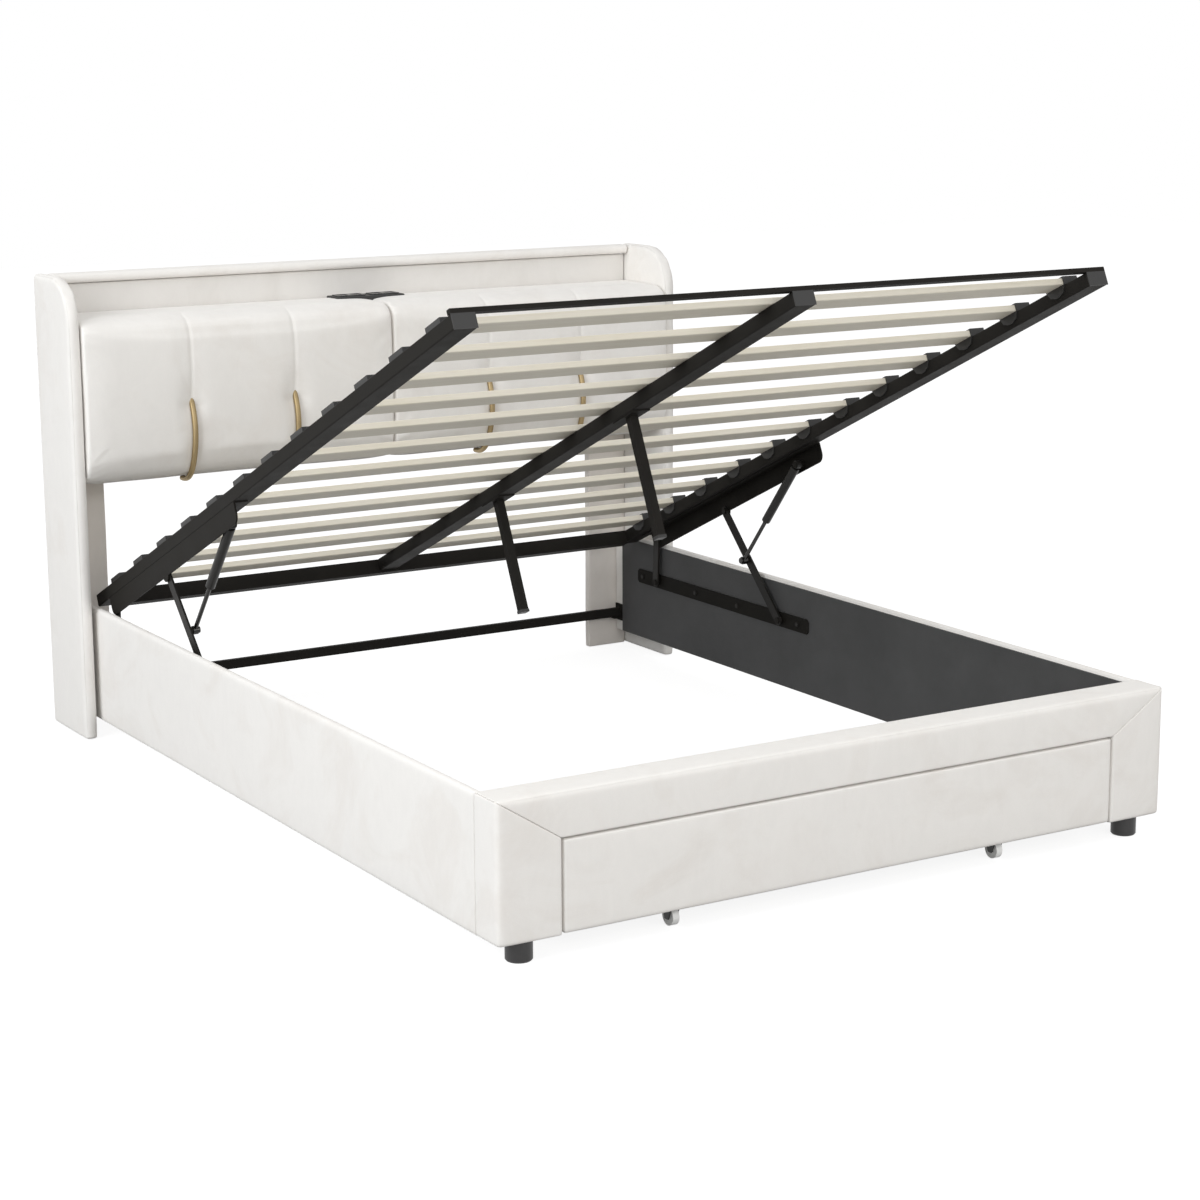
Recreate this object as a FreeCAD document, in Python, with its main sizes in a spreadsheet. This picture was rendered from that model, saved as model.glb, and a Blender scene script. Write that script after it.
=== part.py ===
import FreeCAD, Part
import math
import os
import Sketcher
from FreeCAD import Placement, Rotation, Vector

# Storage bed: upholstered frame, headboard with padded shelf box, footboard drawer on
# castors, and a steel slat platform raised on two four-bar links with gas springs.
# X is the width, +Y points to the headboard, +Z is up. The origin lies on the floor
# under the middle of the bed. The model is built with the platform raised.

os.makedirs("parts", exist_ok=True)
doc = FreeCAD.newDocument("StorageBed")
sheet = doc.addObject("Spreadsheet::Sheet", "Sizes")


# Sizes with their spreadsheet names

class Size:
    """A length that knows its value and the spreadsheet text that gives it."""

    def __init__(self, value, text):
        self.value = float(value)
        self.text = text

    def joined(self, other, sign, value):
        other_text = other.text if isinstance(other, Size) else repr(float(other))
        return Size(value, "(" + self.text + " " + sign + " " + other_text + ")")

    def __add__(self, other):
        return self.joined(other, "+", self.value + number(other))

    def __sub__(self, other):
        return self.joined(other, "-", self.value - number(other))

    def __mul__(self, other):
        return self.joined(other, "*", self.value * number(other))

    def __truediv__(self, other):
        return self.joined(other, "/", self.value / number(other))

    def __neg__(self):
        return Size(-self.value, "(0 - " + self.text + ")")


def number(item):
    return item.value if isinstance(item, Size) else float(item)


class Sizes:
    pass


size = Sizes()
sheet_row = [0]


def sizes(heading, **values):
    """Write one block of named sizes to the sheet and keep them as attributes of size."""
    sheet_row[0] += 1
    sheet.set("A" + str(sheet_row[0]), heading)
    for name, value in values.items():
        sheet_row[0] += 1
        cell = "B" + str(sheet_row[0])
        sheet.set("A" + str(sheet_row[0]), name.replace("_", " "))
        sheet.set(cell, str(value))
        sheet.setAlias(cell, name)
        setattr(size, name, Size(value, "Sizes." + name))


# Bed
bed_length = 2172
cut_overrun = 5
running_gap = 0.3
pivot_clearance = 0.1
match_tolerance = 0.1
sizes("bed", bed_length=bed_length, cut_overrun=cut_overrun, running_gap=running_gap,
      pivot_clearance=pivot_clearance, match_tolerance=match_tolerance)

# Headboard
wing_spacing = 1630
wing_thickness = 32
wing_depth = 226
wing_height = 1110
wing_corner_radius = 110
wing_edge_chamfer = 9
back_thickness = 25
top_rail_height = 26
top_rail_depth = 46
top_rail_radius = 10
top_rail_drop = 1
leg_width = 119
leg_thickness = 24
leg_edge_radius = 4
sizes("headboard", wing_spacing=wing_spacing, wing_thickness=wing_thickness,
      wing_depth=wing_depth, wing_height=wing_height, wing_corner_radius=wing_corner_radius,
      wing_edge_chamfer=wing_edge_chamfer, back_thickness=back_thickness,
      top_rail_height=top_rail_height, top_rail_depth=top_rail_depth,
      top_rail_radius=top_rail_radius, top_rail_drop=top_rail_drop, leg_width=leg_width,
      leg_thickness=leg_thickness, leg_edge_radius=leg_edge_radius)

# Shelf box
shelf_drop = 96
box_height = 399
box_depth = 205
box_side_gap = 7
box_split = 2
core_front_padding = 54
core_top_padding = 34
core_bottom_padding = 34
cushion_corner_radius = 44
cushion_crown = 12
cushion_end_tuck = 13
cushion_end_width = 26
channel_depth = 18
channel_width = 34
channel_length = 206
strap_spacing = 273
sizes("shelf box", shelf_drop=shelf_drop, box_height=box_height, box_depth=box_depth,
      box_side_gap=box_side_gap, box_split=box_split, core_front_padding=core_front_padding,
      core_top_padding=core_top_padding, core_bottom_padding=core_bottom_padding,
      cushion_corner_radius=cushion_corner_radius, cushion_crown=cushion_crown,
      cushion_end_tuck=cushion_end_tuck, cushion_end_width=cushion_end_width,
      channel_depth=channel_depth, channel_width=channel_width, channel_length=channel_length,
      strap_spacing=strap_spacing)

# Straps
strap_diameter = 11
strap_set_back = 4
strap_hook = 20
strap_hook_angle = 35
strap_clearance = 0.4
sizes("straps", strap_diameter=strap_diameter, strap_set_back=strap_set_back,
      strap_hook=strap_hook, strap_hook_angle=strap_hook_angle, strap_clearance=strap_clearance)

# Socket station
station_length = 190
station_width = 62
station_rise = 6
station_depth = 30
station_setback = 30
module_length = 78
module_width = 44
module_rise = 2.5
module_corner = 5
recess_margin = 7
sizes("socket station", station_length=station_length, station_width=station_width,
      station_rise=station_rise, station_depth=station_depth, station_setback=station_setback,
      module_length=module_length, module_width=module_width, module_rise=module_rise,
      module_corner=module_corner, recess_margin=recess_margin)

# Base
rail_step = 12
rail_thickness = 19
rail_top = 318
rail_bottom = 42
rail_edge_radius = 7
lining_thickness = 5
lining_top_step = 8
lining_bottom_step = 5
lining_head_gap = 42
sizes("base", rail_step=rail_step, rail_thickness=rail_thickness, rail_top=rail_top,
      rail_bottom=rail_bottom, rail_edge_radius=rail_edge_radius,
      lining_thickness=lining_thickness, lining_top_step=lining_top_step,
      lining_bottom_step=lining_bottom_step, lining_head_gap=lining_head_gap)

# Footboard
foot_depth = 84
foot_edge_radius = 9
post_width = 138
foot_rail_height = 89
foot_lining_depth = 15
foot_lining_step = 20
foot_diameter = 66
foot_inset = 65
foot_setback = 38
foot_chamfer = 3
sizes("footboard", foot_depth=foot_depth, foot_edge_radius=foot_edge_radius,
      post_width=post_width, foot_rail_height=foot_rail_height,
      foot_lining_depth=foot_lining_depth, foot_lining_step=foot_lining_step,
      foot_diameter=foot_diameter, foot_inset=foot_inset, foot_setback=foot_setback,
      foot_chamfer=foot_chamfer)

# Crossbar
crossbar_height = 24
crossbar_depth = 12
crossbar_wall = 1.5
crossbar_bottom = 84
crossbar_setback = 14
crossbar_plate_height = 46
crossbar_plate_width = 34
crossbar_plate_thickness = 3
crossbar_cup_length = 24
sizes("crossbar", crossbar_height=crossbar_height, crossbar_depth=crossbar_depth,
      crossbar_wall=crossbar_wall, crossbar_bottom=crossbar_bottom,
      crossbar_setback=crossbar_setback, crossbar_plate_height=crossbar_plate_height,
      crossbar_plate_width=crossbar_plate_width,
      crossbar_plate_thickness=crossbar_plate_thickness, crossbar_cup_length=crossbar_cup_length)

# Drawer
drawer_gap = 3
drawer_front_thickness = 24
drawer_edge_radius = 5
drawer_depth = 470
drawer_side_inset = 22
drawer_side_height = 118
drawer_floor_height = 52
drawer_board = 12
drawer_floor_thickness = 6
sizes("drawer", drawer_gap=drawer_gap, drawer_front_thickness=drawer_front_thickness,
      drawer_edge_radius=drawer_edge_radius, drawer_depth=drawer_depth,
      drawer_side_inset=drawer_side_inset, drawer_side_height=drawer_side_height,
      drawer_floor_height=drawer_floor_height, drawer_board=drawer_board,
      drawer_floor_thickness=drawer_floor_thickness)

# Castors
wheel_diameter = 38
wheel_width = 15
wheel_bore = 6
wheel_inset = 244
front_wheel_setback = 52
rear_wheel_setback = 432
housing_plate = 2
housing_length = 44
housing_cheek = 2
housing_gap = 1
sizes("castors", wheel_diameter=wheel_diameter, wheel_width=wheel_width, wheel_bore=wheel_bore,
      wheel_inset=wheel_inset, front_wheel_setback=front_wheel_setback,
      rear_wheel_setback=rear_wheel_setback, housing_plate=housing_plate,
      housing_length=housing_length, housing_cheek=housing_cheek, housing_gap=housing_gap)

# Platform
open_angle = 24.5
platform_head_setback = 130
platform_head_height = 333
platform_length = 2031
platform_head_end = 10
platform_side_gap = 10
tube_width = 50
tube_height = 30
tube_wall = 2
tube_corner_radius = 3
head_tube_height = 36
head_tube_depth = 30
foot_bar_height = 10
foot_bar_depth = 14
cap_thickness = 2
cap_plug = 18
sizes("platform", open_angle=open_angle, platform_head_setback=platform_head_setback,
      platform_head_height=platform_head_height, platform_length=platform_length,
      platform_head_end=platform_head_end, platform_side_gap=platform_side_gap, tube_width=tube_width,
      tube_height=tube_height, tube_wall=tube_wall, tube_corner_radius=tube_corner_radius,
      head_tube_height=head_tube_height, head_tube_depth=head_tube_depth,
      foot_bar_height=foot_bar_height, foot_bar_depth=foot_bar_depth, cap_thickness=cap_thickness,
      cap_plug=cap_plug)

# Closed platform
closed_head_setback = 17
closed_height = 310
sizes("closed platform", closed_head_setback=closed_head_setback, closed_height=closed_height)

# Slats
slat_width = 56
slat_thickness = 14
slat_chamfer = 1.5
slat_overlap = 22
first_slat = 120
slat_pitch = 164.5
sizes("slats", slat_width=slat_width, slat_thickness=slat_thickness, slat_chamfer=slat_chamfer,
      slat_overlap=slat_overlap, first_slat=first_slat, slat_pitch=slat_pitch)

# Slat holders
holder_wall = 3
holder_length = 39
tongue_depth = 21
tongue_thickness = 3
holder_slack = 0.2
sizes("slat holders", holder_wall=holder_wall, holder_length=holder_length,
      tongue_depth=tongue_depth, tongue_thickness=tongue_thickness, holder_slack=holder_slack)

# Centre legs
first_centre_leg = 680
second_centre_leg = 1331
centre_leg_side = 28
centre_leg_end = 307
leg_plate_length = 88
leg_plate_width = 44
leg_plate_thickness = 3
leg_foot_height = 7
leg_foot_side = 31
sizes("centre legs", first_centre_leg=first_centre_leg, second_centre_leg=second_centre_leg,
      centre_leg_side=centre_leg_side, centre_leg_end=centre_leg_end,
      leg_plate_length=leg_plate_length, leg_plate_width=leg_plate_width,
      leg_plate_thickness=leg_plate_thickness, leg_foot_height=leg_foot_height,
      leg_foot_side=leg_foot_side)

# Base brackets
bracket_height = 37
bracket_thickness = 4
bracket_bottom = 200
bracket_head_setback = 153
bracket_length = 788
bracket_corner = 6
pivot_height = 217
bracket_gap = 1
sizes("base brackets", bracket_height=bracket_height, bracket_thickness=bracket_thickness,
      bracket_bottom=bracket_bottom, bracket_head_setback=bracket_head_setback,
      bracket_length=bracket_length, bracket_corner=bracket_corner, pivot_height=pivot_height,
      bracket_gap=bracket_gap)

# Upper brackets
head_pivot_along = 123
flange_foot_margin = 82
flange_drop = 76
flange_thickness = 4
shelf_thickness = 3
shelf_width = 34
lug_diameter = 30
flange_corner_radius = 20
flange_head_margin = 28
head_pivot_drop = 46
middle_pivot_reach = 345
middle_pivot_drop = 73
spring_pivot_reach = 375
spring_pivot_drop = 60
sizes("upper brackets", head_pivot_along=head_pivot_along, flange_foot_margin=flange_foot_margin,
      flange_drop=flange_drop, flange_thickness=flange_thickness, shelf_thickness=shelf_thickness,
      shelf_width=shelf_width, lug_diameter=lug_diameter, flange_corner_radius=flange_corner_radius,
      flange_head_margin=flange_head_margin, head_pivot_drop=head_pivot_drop,
      middle_pivot_reach=middle_pivot_reach, middle_pivot_drop=middle_pivot_drop,
      spring_pivot_reach=spring_pivot_reach, spring_pivot_drop=spring_pivot_drop)

# Links
link_width = 24
link_thickness = 5
pin_diameter = 10
pin_head_diameter = 16
pin_head_height = 3
sizes("links", link_width=link_width, link_thickness=link_thickness, pin_diameter=pin_diameter,
      pin_head_diameter=pin_head_diameter, pin_head_height=pin_head_height)

# Gas springs
cylinder_diameter = 22
cylinder_gland_gap = 16
rod_diameter = 10
eye_diameter = 20
eye_width = 12
spring_side_gap = 1
cross_pin_diameter = 9
cross_pin_head_diameter = 15
cross_pin_head_height = 5
sizes("gas springs", cylinder_diameter=cylinder_diameter, cylinder_gland_gap=cylinder_gland_gap,
      rod_diameter=rod_diameter, eye_diameter=eye_diameter, eye_width=eye_width,
      spring_side_gap=spring_side_gap, cross_pin_diameter=cross_pin_diameter,
      cross_pin_head_diameter=cross_pin_head_diameter,
      cross_pin_head_height=cross_pin_head_height)

# Counts and shares
slat_count = 12
cross_pin_share = 0.55
strap_place_shares = (-2, -1, 1, 2)
strap_side_count = 6
tongue_angles = (0, 45, 78)
lower_swell_share = 0.55
upper_swell_share = 0.35
lid_swell_share = 0.25
along_share = 0.999
diagonal_share = math.sqrt(0.5)
doc.recompute()


# Reference lines of the bed

front = -(size.bed_length / 2)
back = size.bed_length / 2
wing_inner = size.wing_spacing / 2
wing_front = back - size.wing_depth
panel_front = back - size.back_thickness
box_front = panel_front - size.box_depth
box_top = size.wing_height - size.shelf_drop
box_bottom = box_top - size.box_height
leg_front = back - size.leg_thickness
rail_outer = wing_inner - size.rail_step
rail_inner = rail_outer - size.rail_thickness
lining_inner = rail_inner - size.lining_thickness
lining_head = leg_front - size.lining_head_gap
foot_back = front + size.foot_depth
drawer_top = size.rail_top - size.foot_rail_height
post_inner = rail_outer - size.post_width
tube_outer = rail_inner - size.platform_side_gap
tube_inner = tube_outer - size.tube_width


# Building helpers

finished = []


def deliver(item, label, place=None):
    """Give a finished sub-part its name and place."""
    item.Label = label
    if place is not None:
        item.Placement = place
    finished.append(item)
    return item


def plane_of(body, role):
    for feature in body.Origin.OriginFeatures:
        if feature.Role == role:
            return feature
    raise ValueError(role)


def new_body(name):
    return doc.addObject("PartDesign::Body", name)


def new_sketch(body, role, height=None):
    """A sketch on one of the body's own planes, raised along the plane's normal."""
    sketch = body.newObject("Sketcher::SketchObject", body.Name + "Sketch")
    sketch.AttachmentSupport = [(plane_of(body, role), "")]
    sketch.MapMode = "FlatFace"
    if height is not None:
        sketch.AttachmentOffset = Placement(Vector(0, 0, height.value), Rotation())
        sketch.setExpression("AttachmentOffset.Base.z", height.text)
    return sketch


def tie(sketch, kind, place, amount):
    """Constrain one coordinate of a sketch point to a named size."""
    index = sketch.addConstraint(Sketcher.Constraint(kind, -1, 1, *place, number(amount)))
    if isinstance(amount, Size):
        sketch.setExpression("Constraints[" + str(index) + "]", amount.text)


def polygon(sketch, points):
    """A closed outline of straight lines through points given as pairs of sizes."""
    first = sketch.GeometryCount
    places = [Vector(number(u), number(v), 0) for u, v in points]
    for start, end in zip(places, places[1:] + places[:1]):
        sketch.addGeometry(Part.LineSegment(start, end), False)
    count = len(points)
    for step in range(count):
        following = first + (step + 1) % count
        sketch.addConstraint(Sketcher.Constraint("Coincident", first + step, 2, following, 1))
    for step, (u, v) in enumerate(points):
        tie(sketch, "DistanceX", (first + step, 1), u)
        tie(sketch, "DistanceY", (first + step, 1), v)


def rectangle(sketch, low_u, low_v, high_u, high_v):
    polygon(sketch, [(low_u, low_v), (high_u, low_v), (high_u, high_v), (low_u, high_v)])


def circle(sketch, u, v, diameter):
    centre = Vector(number(u), number(v), 0)
    sketch.addGeometry(Part.Circle(centre, Vector(0, 0, 1), number(diameter) / 2), False)
    index = sketch.GeometryCount - 1
    tie(sketch, "DistanceX", (index, 3), u)
    tie(sketch, "DistanceY", (index, 3), v)
    row = sketch.addConstraint(Sketcher.Constraint("Diameter", index, number(diameter)))
    if isinstance(diameter, Size):
        sketch.setExpression("Constraints[" + str(row) + "]", diameter.text)


def pad(body, sketch, length):
    feature = body.newObject("PartDesign::Pad", body.Name + "Pad")
    feature.Profile = sketch
    feature.Length = length.value
    feature.setExpression("Length", length.text)
    doc.recompute()
    return feature


def pocket(body, sketch, length, backwards=False):
    """Cut a sketch out of the body and check that something was cut."""
    before = body.Shape.Volume
    feature = body.newObject("PartDesign::Pocket", body.Name + "Pocket")
    feature.Profile = sketch
    feature.Length = length.value
    feature.setExpression("Length", length.text)
    feature.Reversed = backwards
    doc.recompute()
    if body.Shape.Volume >= before:
        raise ValueError(body.Name + ": a pocket cut nothing")
    return feature


def revolve(body, sketch, axis="V_Axis"):
    feature = body.newObject("PartDesign::Revolution", body.Name + "Turned")
    feature.Profile = sketch
    feature.ReferenceAxis = (sketch, [axis])
    feature.Angle = 360
    doc.recompute()
    return feature


def edges_where(shape, test):
    names = []
    for index, edge in enumerate(shape.Edges):
        middle = edge.valueAt((edge.FirstParameter + edge.LastParameter) / 2)
        ends = [vertex.Point for vertex in edge.Vertexes]
        if len(ends) == 2 and test(middle, ends[1] - ends[0]):
            names.append("Edge" + str(index + 1))
    return names


def rounded(body, radius, test, kind="PartDesign::Fillet"):
    """Round (or chamfer) the edges of the body's last feature that pass the test."""
    base = body.Tip
    names = edges_where(base.Shape, test)
    if not names:
        raise ValueError(body.Name + ": no edge to round")
    feature = body.newObject(kind, body.Name + "Edge")
    feature.Base = (base, names)
    field = "Radius" if kind.endswith("Fillet") else "Size"
    setattr(feature, field, radius.value)
    feature.setExpression(field, radius.text)
    doc.recompute()
    return feature


def near(a, b):
    return abs(number(a) - number(b)) < size.match_tolerance.value


def along(direction, axis):
    """True for an edge that runs along one of the axes x, y or z."""
    return abs(getattr(direction, axis)) > along_share * direction.Length


def block(name, low, high, role="XY_Plane"):
    """A body that is a plain block between two corners."""
    body = new_body(name)
    sketch = new_sketch(body, role, low[2])
    rectangle(sketch, low[0], low[1], high[0], high[1])
    pad(body, sketch, high[2] - low[2])
    return body


def both_sides(name, build):
    """Build the left and right copy of a sub-part: side is -1 on the left and 1 on the right."""
    for word, side in (("left", -1), ("right", 1)):
        build(word + "_" + name, side)


def span(side, inner, outer):
    """The x range from inner to outer on one side, low value first."""
    return (inner, outer) if side > 0 else (-outer, -inner)


def group(label, solids, place=None):
    """One node that holds several separate solids."""
    item = doc.addObject("Part::Feature", label.title().replace("_", ""))
    item.Shape = Part.makeCompound(solids)
    return deliver(item, label, place)


def solid_box(low, high):
    """A block as a bare shape between two corners of plain numbers."""
    spans = [top - bottom for bottom, top in zip(low, high)]
    return Part.makeBox(*spans, Vector(*low))


def numbers(*items):
    return tuple(number(item) for item in items)


def plain(value):
    """A length worked out from the sizes by trigonometry."""
    return Size(value, repr(float(value)))


zero = Size(0, "0")
quarter_turn = 90
half_turn = 180


def disc(body, across, y, z, diameter):
    """Add a round bar along X to a body, over the x range across."""
    sketch = new_sketch(body, "YZ_Plane", across[0])
    circle(sketch, y, z, diameter)
    return pad(body, sketch, across[1] - across[0])


def hole(body, across, y, z, diameter):
    """Cut a round hole along X through a body, over the x range across and the overrun."""
    sketch = new_sketch(body, "YZ_Plane", across[0] - size.cut_overrun)
    circle(sketch, y, z, diameter)
    return pocket(body, sketch, across[1] - across[0] + size.cut_overrun * 2, True)


def slab(body, across, low_y, low_z, high_y, high_z):
    """Add a block to a body, drawn in the side view and padded over the x range across."""
    sketch = new_sketch(body, "YZ_Plane", across[0])
    rectangle(sketch, low_y, low_z, high_y, high_z)
    return pad(body, sketch, across[1] - across[0])


def level_slab(body, low, high):
    """Add a block to a body, drawn in the plan view and padded upwards."""
    sketch = new_sketch(body, "XY_Plane", low[2])
    rectangle(sketch, low[0], low[1], high[0], high[1])
    return pad(body, sketch, high[2] - low[2])


def moved(x, y, z, turn=0):
    """A place given by named sizes, with a turn about the upright axis."""
    return Placement(Vector(*numbers(x, y, z)), Rotation(Vector(0, 0, 1), turn))


def copies(label, body, places, whole=None):
    """One node with a separate copy of a body at each place; the body itself is only its pattern."""
    solids = []
    for place in places:
        solid = body.Shape.Solids[0].copy()
        solid.Placement = place.multiply(solid.Placement)
        solids.append(solid)
    return group(label, solids, whole)


# Headboard

def wing(label, side):
    body = new_body(label)
    low, high = span(side, wing_inner, wing_inner + size.wing_thickness)
    sketch = new_sketch(body, "YZ_Plane", low)
    rectangle(sketch, wing_front, zero, back, size.wing_height)
    pad(body, sketch, high - low)
    rounded(body, size.wing_corner_radius,
            lambda middle, run: along(run, "x") and near(middle.y, wing_front)
            and near(middle.z, size.wing_height))
    rounded(body, size.wing_edge_chamfer,
            lambda middle, run: not along(run, "x") and middle.z > size.wing_edge_chamfer.value
            and middle.y < back.value - size.wing_edge_chamfer.value, "PartDesign::Chamfer")
    deliver(body, label)


both_sides("wing", wing)

back_panel = block("BackPanel", (-wing_inner, panel_front, box_bottom),
                   (wing_inner, back, size.wing_height - size.top_rail_drop - size.top_rail_height))
deliver(back_panel, "headboard_back_panel")


def top_rail():
    body = new_body("TopRail")
    top = size.wing_height - size.top_rail_drop
    sketch = new_sketch(body, "YZ_Plane", -wing_inner)
    rectangle(sketch, back - size.top_rail_depth, top - size.top_rail_height, back, top)
    pad(body, sketch, size.wing_spacing)
    rounded(body, size.top_rail_radius,
            lambda middle, run: along(run, "x") and near(middle.y, back - size.top_rail_depth))
    deliver(body, "headboard_top_rail")


top_rail()


def headboard_leg(label, side):
    body = new_body(label)
    low, high = span(side, wing_inner - size.leg_width, wing_inner)
    sketch = new_sketch(body, "XY_Plane")
    rectangle(sketch, low, leg_front, high, back)
    pad(body, sketch, box_bottom)
    free_edge = wing_inner - size.leg_width
    rounded(body, size.leg_edge_radius,
            lambda middle, run: along(run, "z") and near(abs(middle.x), free_edge)
            and near(middle.y, leg_front))
    deliver(body, label)


both_sides("headboard_leg", headboard_leg)

core_front = box_front + size.core_front_padding
core_bottom = box_bottom + size.core_bottom_padding
core_top = box_top - size.core_top_padding
deliver(block("ShelfCore", (-wing_inner, core_front, core_bottom), (wing_inner, panel_front, core_top)),
        "shelf_box_core")


# Padded halves of the shelf box

def cushion_section(x, tuck, channel):
    """Side outline of the pad at one x: tuck draws all of it in, channel only its upper front."""
    face = box_front.value + tuck
    upper = face + channel
    low = box_bottom.value + tuck / 2
    high = box_top.value - tuck / 2
    lid = high - channel / 2
    radius = size.cushion_corner_radius.value
    crown = size.cushion_crown.value
    waist = high - size.channel_length.value
    rear = panel_front.value

    def corner(centre_y, centre_z, sign):
        return Vector(x, centre_y - radius * diagonal_share, centre_z + sign * radius * diagonal_share)

    bottom_start = Vector(x, rear, low)
    bottom_end = Vector(x, face + crown + radius, low)
    front_low = Vector(x, face + crown, low + radius)
    front_middle = Vector(x, upper, waist)
    front_high = Vector(x, upper + crown, lid - radius)
    top_start = Vector(x, upper + crown + radius, lid)
    top_end = Vector(x, rear, high - crown / 2)
    lower_corner = corner(face + crown + radius, low + radius, -1)
    upper_corner = corner(upper + crown + radius, lid - radius, 1)
    lower_swell = Vector(x, face - crown * lower_swell_share, (low + radius + waist) / 2)
    upper_swell = (front_middle + front_high) / 2 - Vector(0, crown * upper_swell_share, 0)
    lid_swell = (top_start + top_end) / 2 + Vector(0, 0, crown * lid_swell_share)
    edges = [
        Part.LineSegment(bottom_start, bottom_end).toShape(),
        Part.Arc(bottom_end, lower_corner, front_low).toShape(),
        Part.Arc(front_low, lower_swell, front_middle).toShape(),
        Part.Arc(front_middle, upper_swell, front_high).toShape(),
        Part.Arc(front_high, upper_corner, top_start).toShape(),
        Part.Arc(top_start, lid_swell, top_end).toShape(),
        Part.LineSegment(top_end, bottom_start).toShape(),
    ]
    return Part.Wire(edges)


def cushion_stations():
    """Places across one half and how far the outline is drawn in at each."""
    tuck = size.cushion_end_tuck.value
    half = size.channel_width.value / 2
    inner = size.box_split.value / 2
    outer = (wing_inner - size.box_side_gap).value
    end = size.cushion_end_width.value
    stations = [(inner, tuck, 0), (inner + end, 0, 0)]
    for step in (1, 2):
        place = step * size.strap_spacing.value
        stations += [(place - half, 0, 0), (place, 0, size.channel_depth.value), (place + half, 0, 0)]
    return stations + [(outer - end, 0, 0), (outer, tuck, 0)]


def station_cut():
    """The room that the socket station takes out of both pads."""
    half = size.station_length.value / 2
    rear = (panel_front - size.station_setback).value
    low = (box_top - size.station_depth).value
    high = (box_top + size.cut_overrun).value
    return solid_box((-half, rear - size.station_width.value, low), (half, rear, high))


def cushion(label, side):
    wires = [cushion_section(side * x, tuck, channel) for x, tuck, channel in cushion_stations()]
    pads = Part.makeLoft(wires, True, True)
    if pads.Volume < 0:
        pads.reverse()
    core = solid_box(numbers(-wing_inner, core_front - size.running_gap, core_bottom),
                     numbers(wing_inner, panel_front + size.cut_overrun, core_top))
    shape = pads.cut(core).cut(station_cut())
    item = doc.addObject("Part::Feature", label.title().replace("_", ""))
    item.Shape = shape.Solids[0] if len(shape.Solids) == 1 else shape
    deliver(item, label)


both_sides("shelf_cushion", cushion)


# Gold straps over the lower half of each channel

def strap(x):
    """A round bar that bows out over the pad, follows its lower edge and ends under it."""
    touch = (size.strap_diameter / 2 + size.strap_clearance).value
    corner = size.cushion_corner_radius.value
    centre = Vector(x, box_front.value + size.cushion_crown.value + corner, box_bottom.value + corner)
    reach = corner + touch
    start = Vector(x, box_front.value - touch + size.strap_set_back.value, (box_top - size.channel_length).value)
    turn = math.radians(size.strap_hook_angle.value)
    inward = Vector(0, math.cos(turn), math.sin(turn))
    joint = centre - inward * reach
    chord = start - joint
    bow_radius = chord.dot(chord) / (2 * chord.dot(inward))
    bow = arc_about(joint + inward * bow_radius, start, joint)
    under = Vector(x, centre.y, centre.z - reach)
    hook = arc_about(centre, joint, under)
    tip = Part.makeLine(under, under + Vector(0, size.strap_hook.value, 0))
    ring = strap_section(start, bow.tangent(bow.FirstParameter)[0])
    return Part.Wire([bow.toShape(), hook.toShape(), tip]).makePipeShell([ring], True, False)


def strap_section(centre, leaving):
    """The bar's section, drawn with a few flat sides across the path."""
    across = Vector(1, 0, 0)
    other = leaving.cross(across)
    radius = size.strap_diameter.value / 2
    corners = []
    for step in range(strap_side_count + 1):
        turn = math.tau * (step % strap_side_count + diagonal_share) / strap_side_count
        corners.append(centre + (across * math.cos(turn) + other * math.sin(turn)) * radius)
    return Part.Wire(Part.makePolygon(corners).Edges)


def arc_about(centre, start, end):
    """The shorter arc from start to end about a centre."""
    towards = (start + end) / 2 - centre
    middle = centre + towards * ((start - centre).Length / towards.Length)
    return Part.Arc(start, middle, end)


strap_xs = [place * size.strap_spacing.value for place in strap_place_shares]
group("gold_straps", [strap(x) for x in strap_xs])


# Socket station in the shelf

def station():
    body = new_body("SocketStation")
    rear = panel_front - size.station_setback
    near_side = rear - size.station_width
    half = size.station_length / 2
    gap = size.running_gap
    sketch = new_sketch(body, "XY_Plane", box_top - size.station_depth + gap)
    rectangle(sketch, gap - half, near_side + gap, half - gap, rear - gap)
    pad(body, sketch, size.station_depth + size.station_rise - gap)
    rounded(body, size.module_rise, lambda middle, run: not along(run, "z")
            and near(middle.z, box_top + size.station_rise))
    deliver(body, "socket_station")


station()


def module():
    """A slightly raised cover plate with two recesses."""
    body = new_body("SocketModule")
    half_x = size.module_length / 2
    half_y = size.module_width / 2
    level_slab(body, (-half_x, -half_y, zero), (half_x, half_y, size.module_rise))
    rounded(body, size.module_corner, lambda middle, run: along(run, "z"), "PartDesign::Chamfer")
    sketch = new_sketch(body, "XY_Plane", size.module_rise / 2)
    for start in (-half_x, zero):
        rectangle(sketch, start + size.recess_margin, size.recess_margin - half_y,
                  start + half_x - size.recess_margin, half_y - size.recess_margin)
    pocket(body, sketch, size.module_rise, True)
    return body


station_middle = panel_front - size.station_setback - size.station_width / 2
copies("socket_modules", module(), [
    moved(size.station_length / 4 * side, station_middle, box_top + size.station_rise)
    for side in (-1, 1)])


# Side rails with their dark linings

def side_rail(label, side):
    body = new_body(label)
    low, high = span(side, rail_inner, rail_outer)
    sketch = new_sketch(body, "XZ_Plane", -leg_front)
    rectangle(sketch, low, size.rail_bottom, high, size.rail_top)
    pad(body, sketch, leg_front - foot_back)
    rounded(body, size.rail_edge_radius,
            lambda middle, run: along(run, "y") and (near(middle.z, size.rail_top)
            or near(abs(middle.x), rail_outer)))
    deliver(body, label)


both_sides("side_rail", side_rail)

lining_front = foot_back + size.foot_lining_depth


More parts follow.
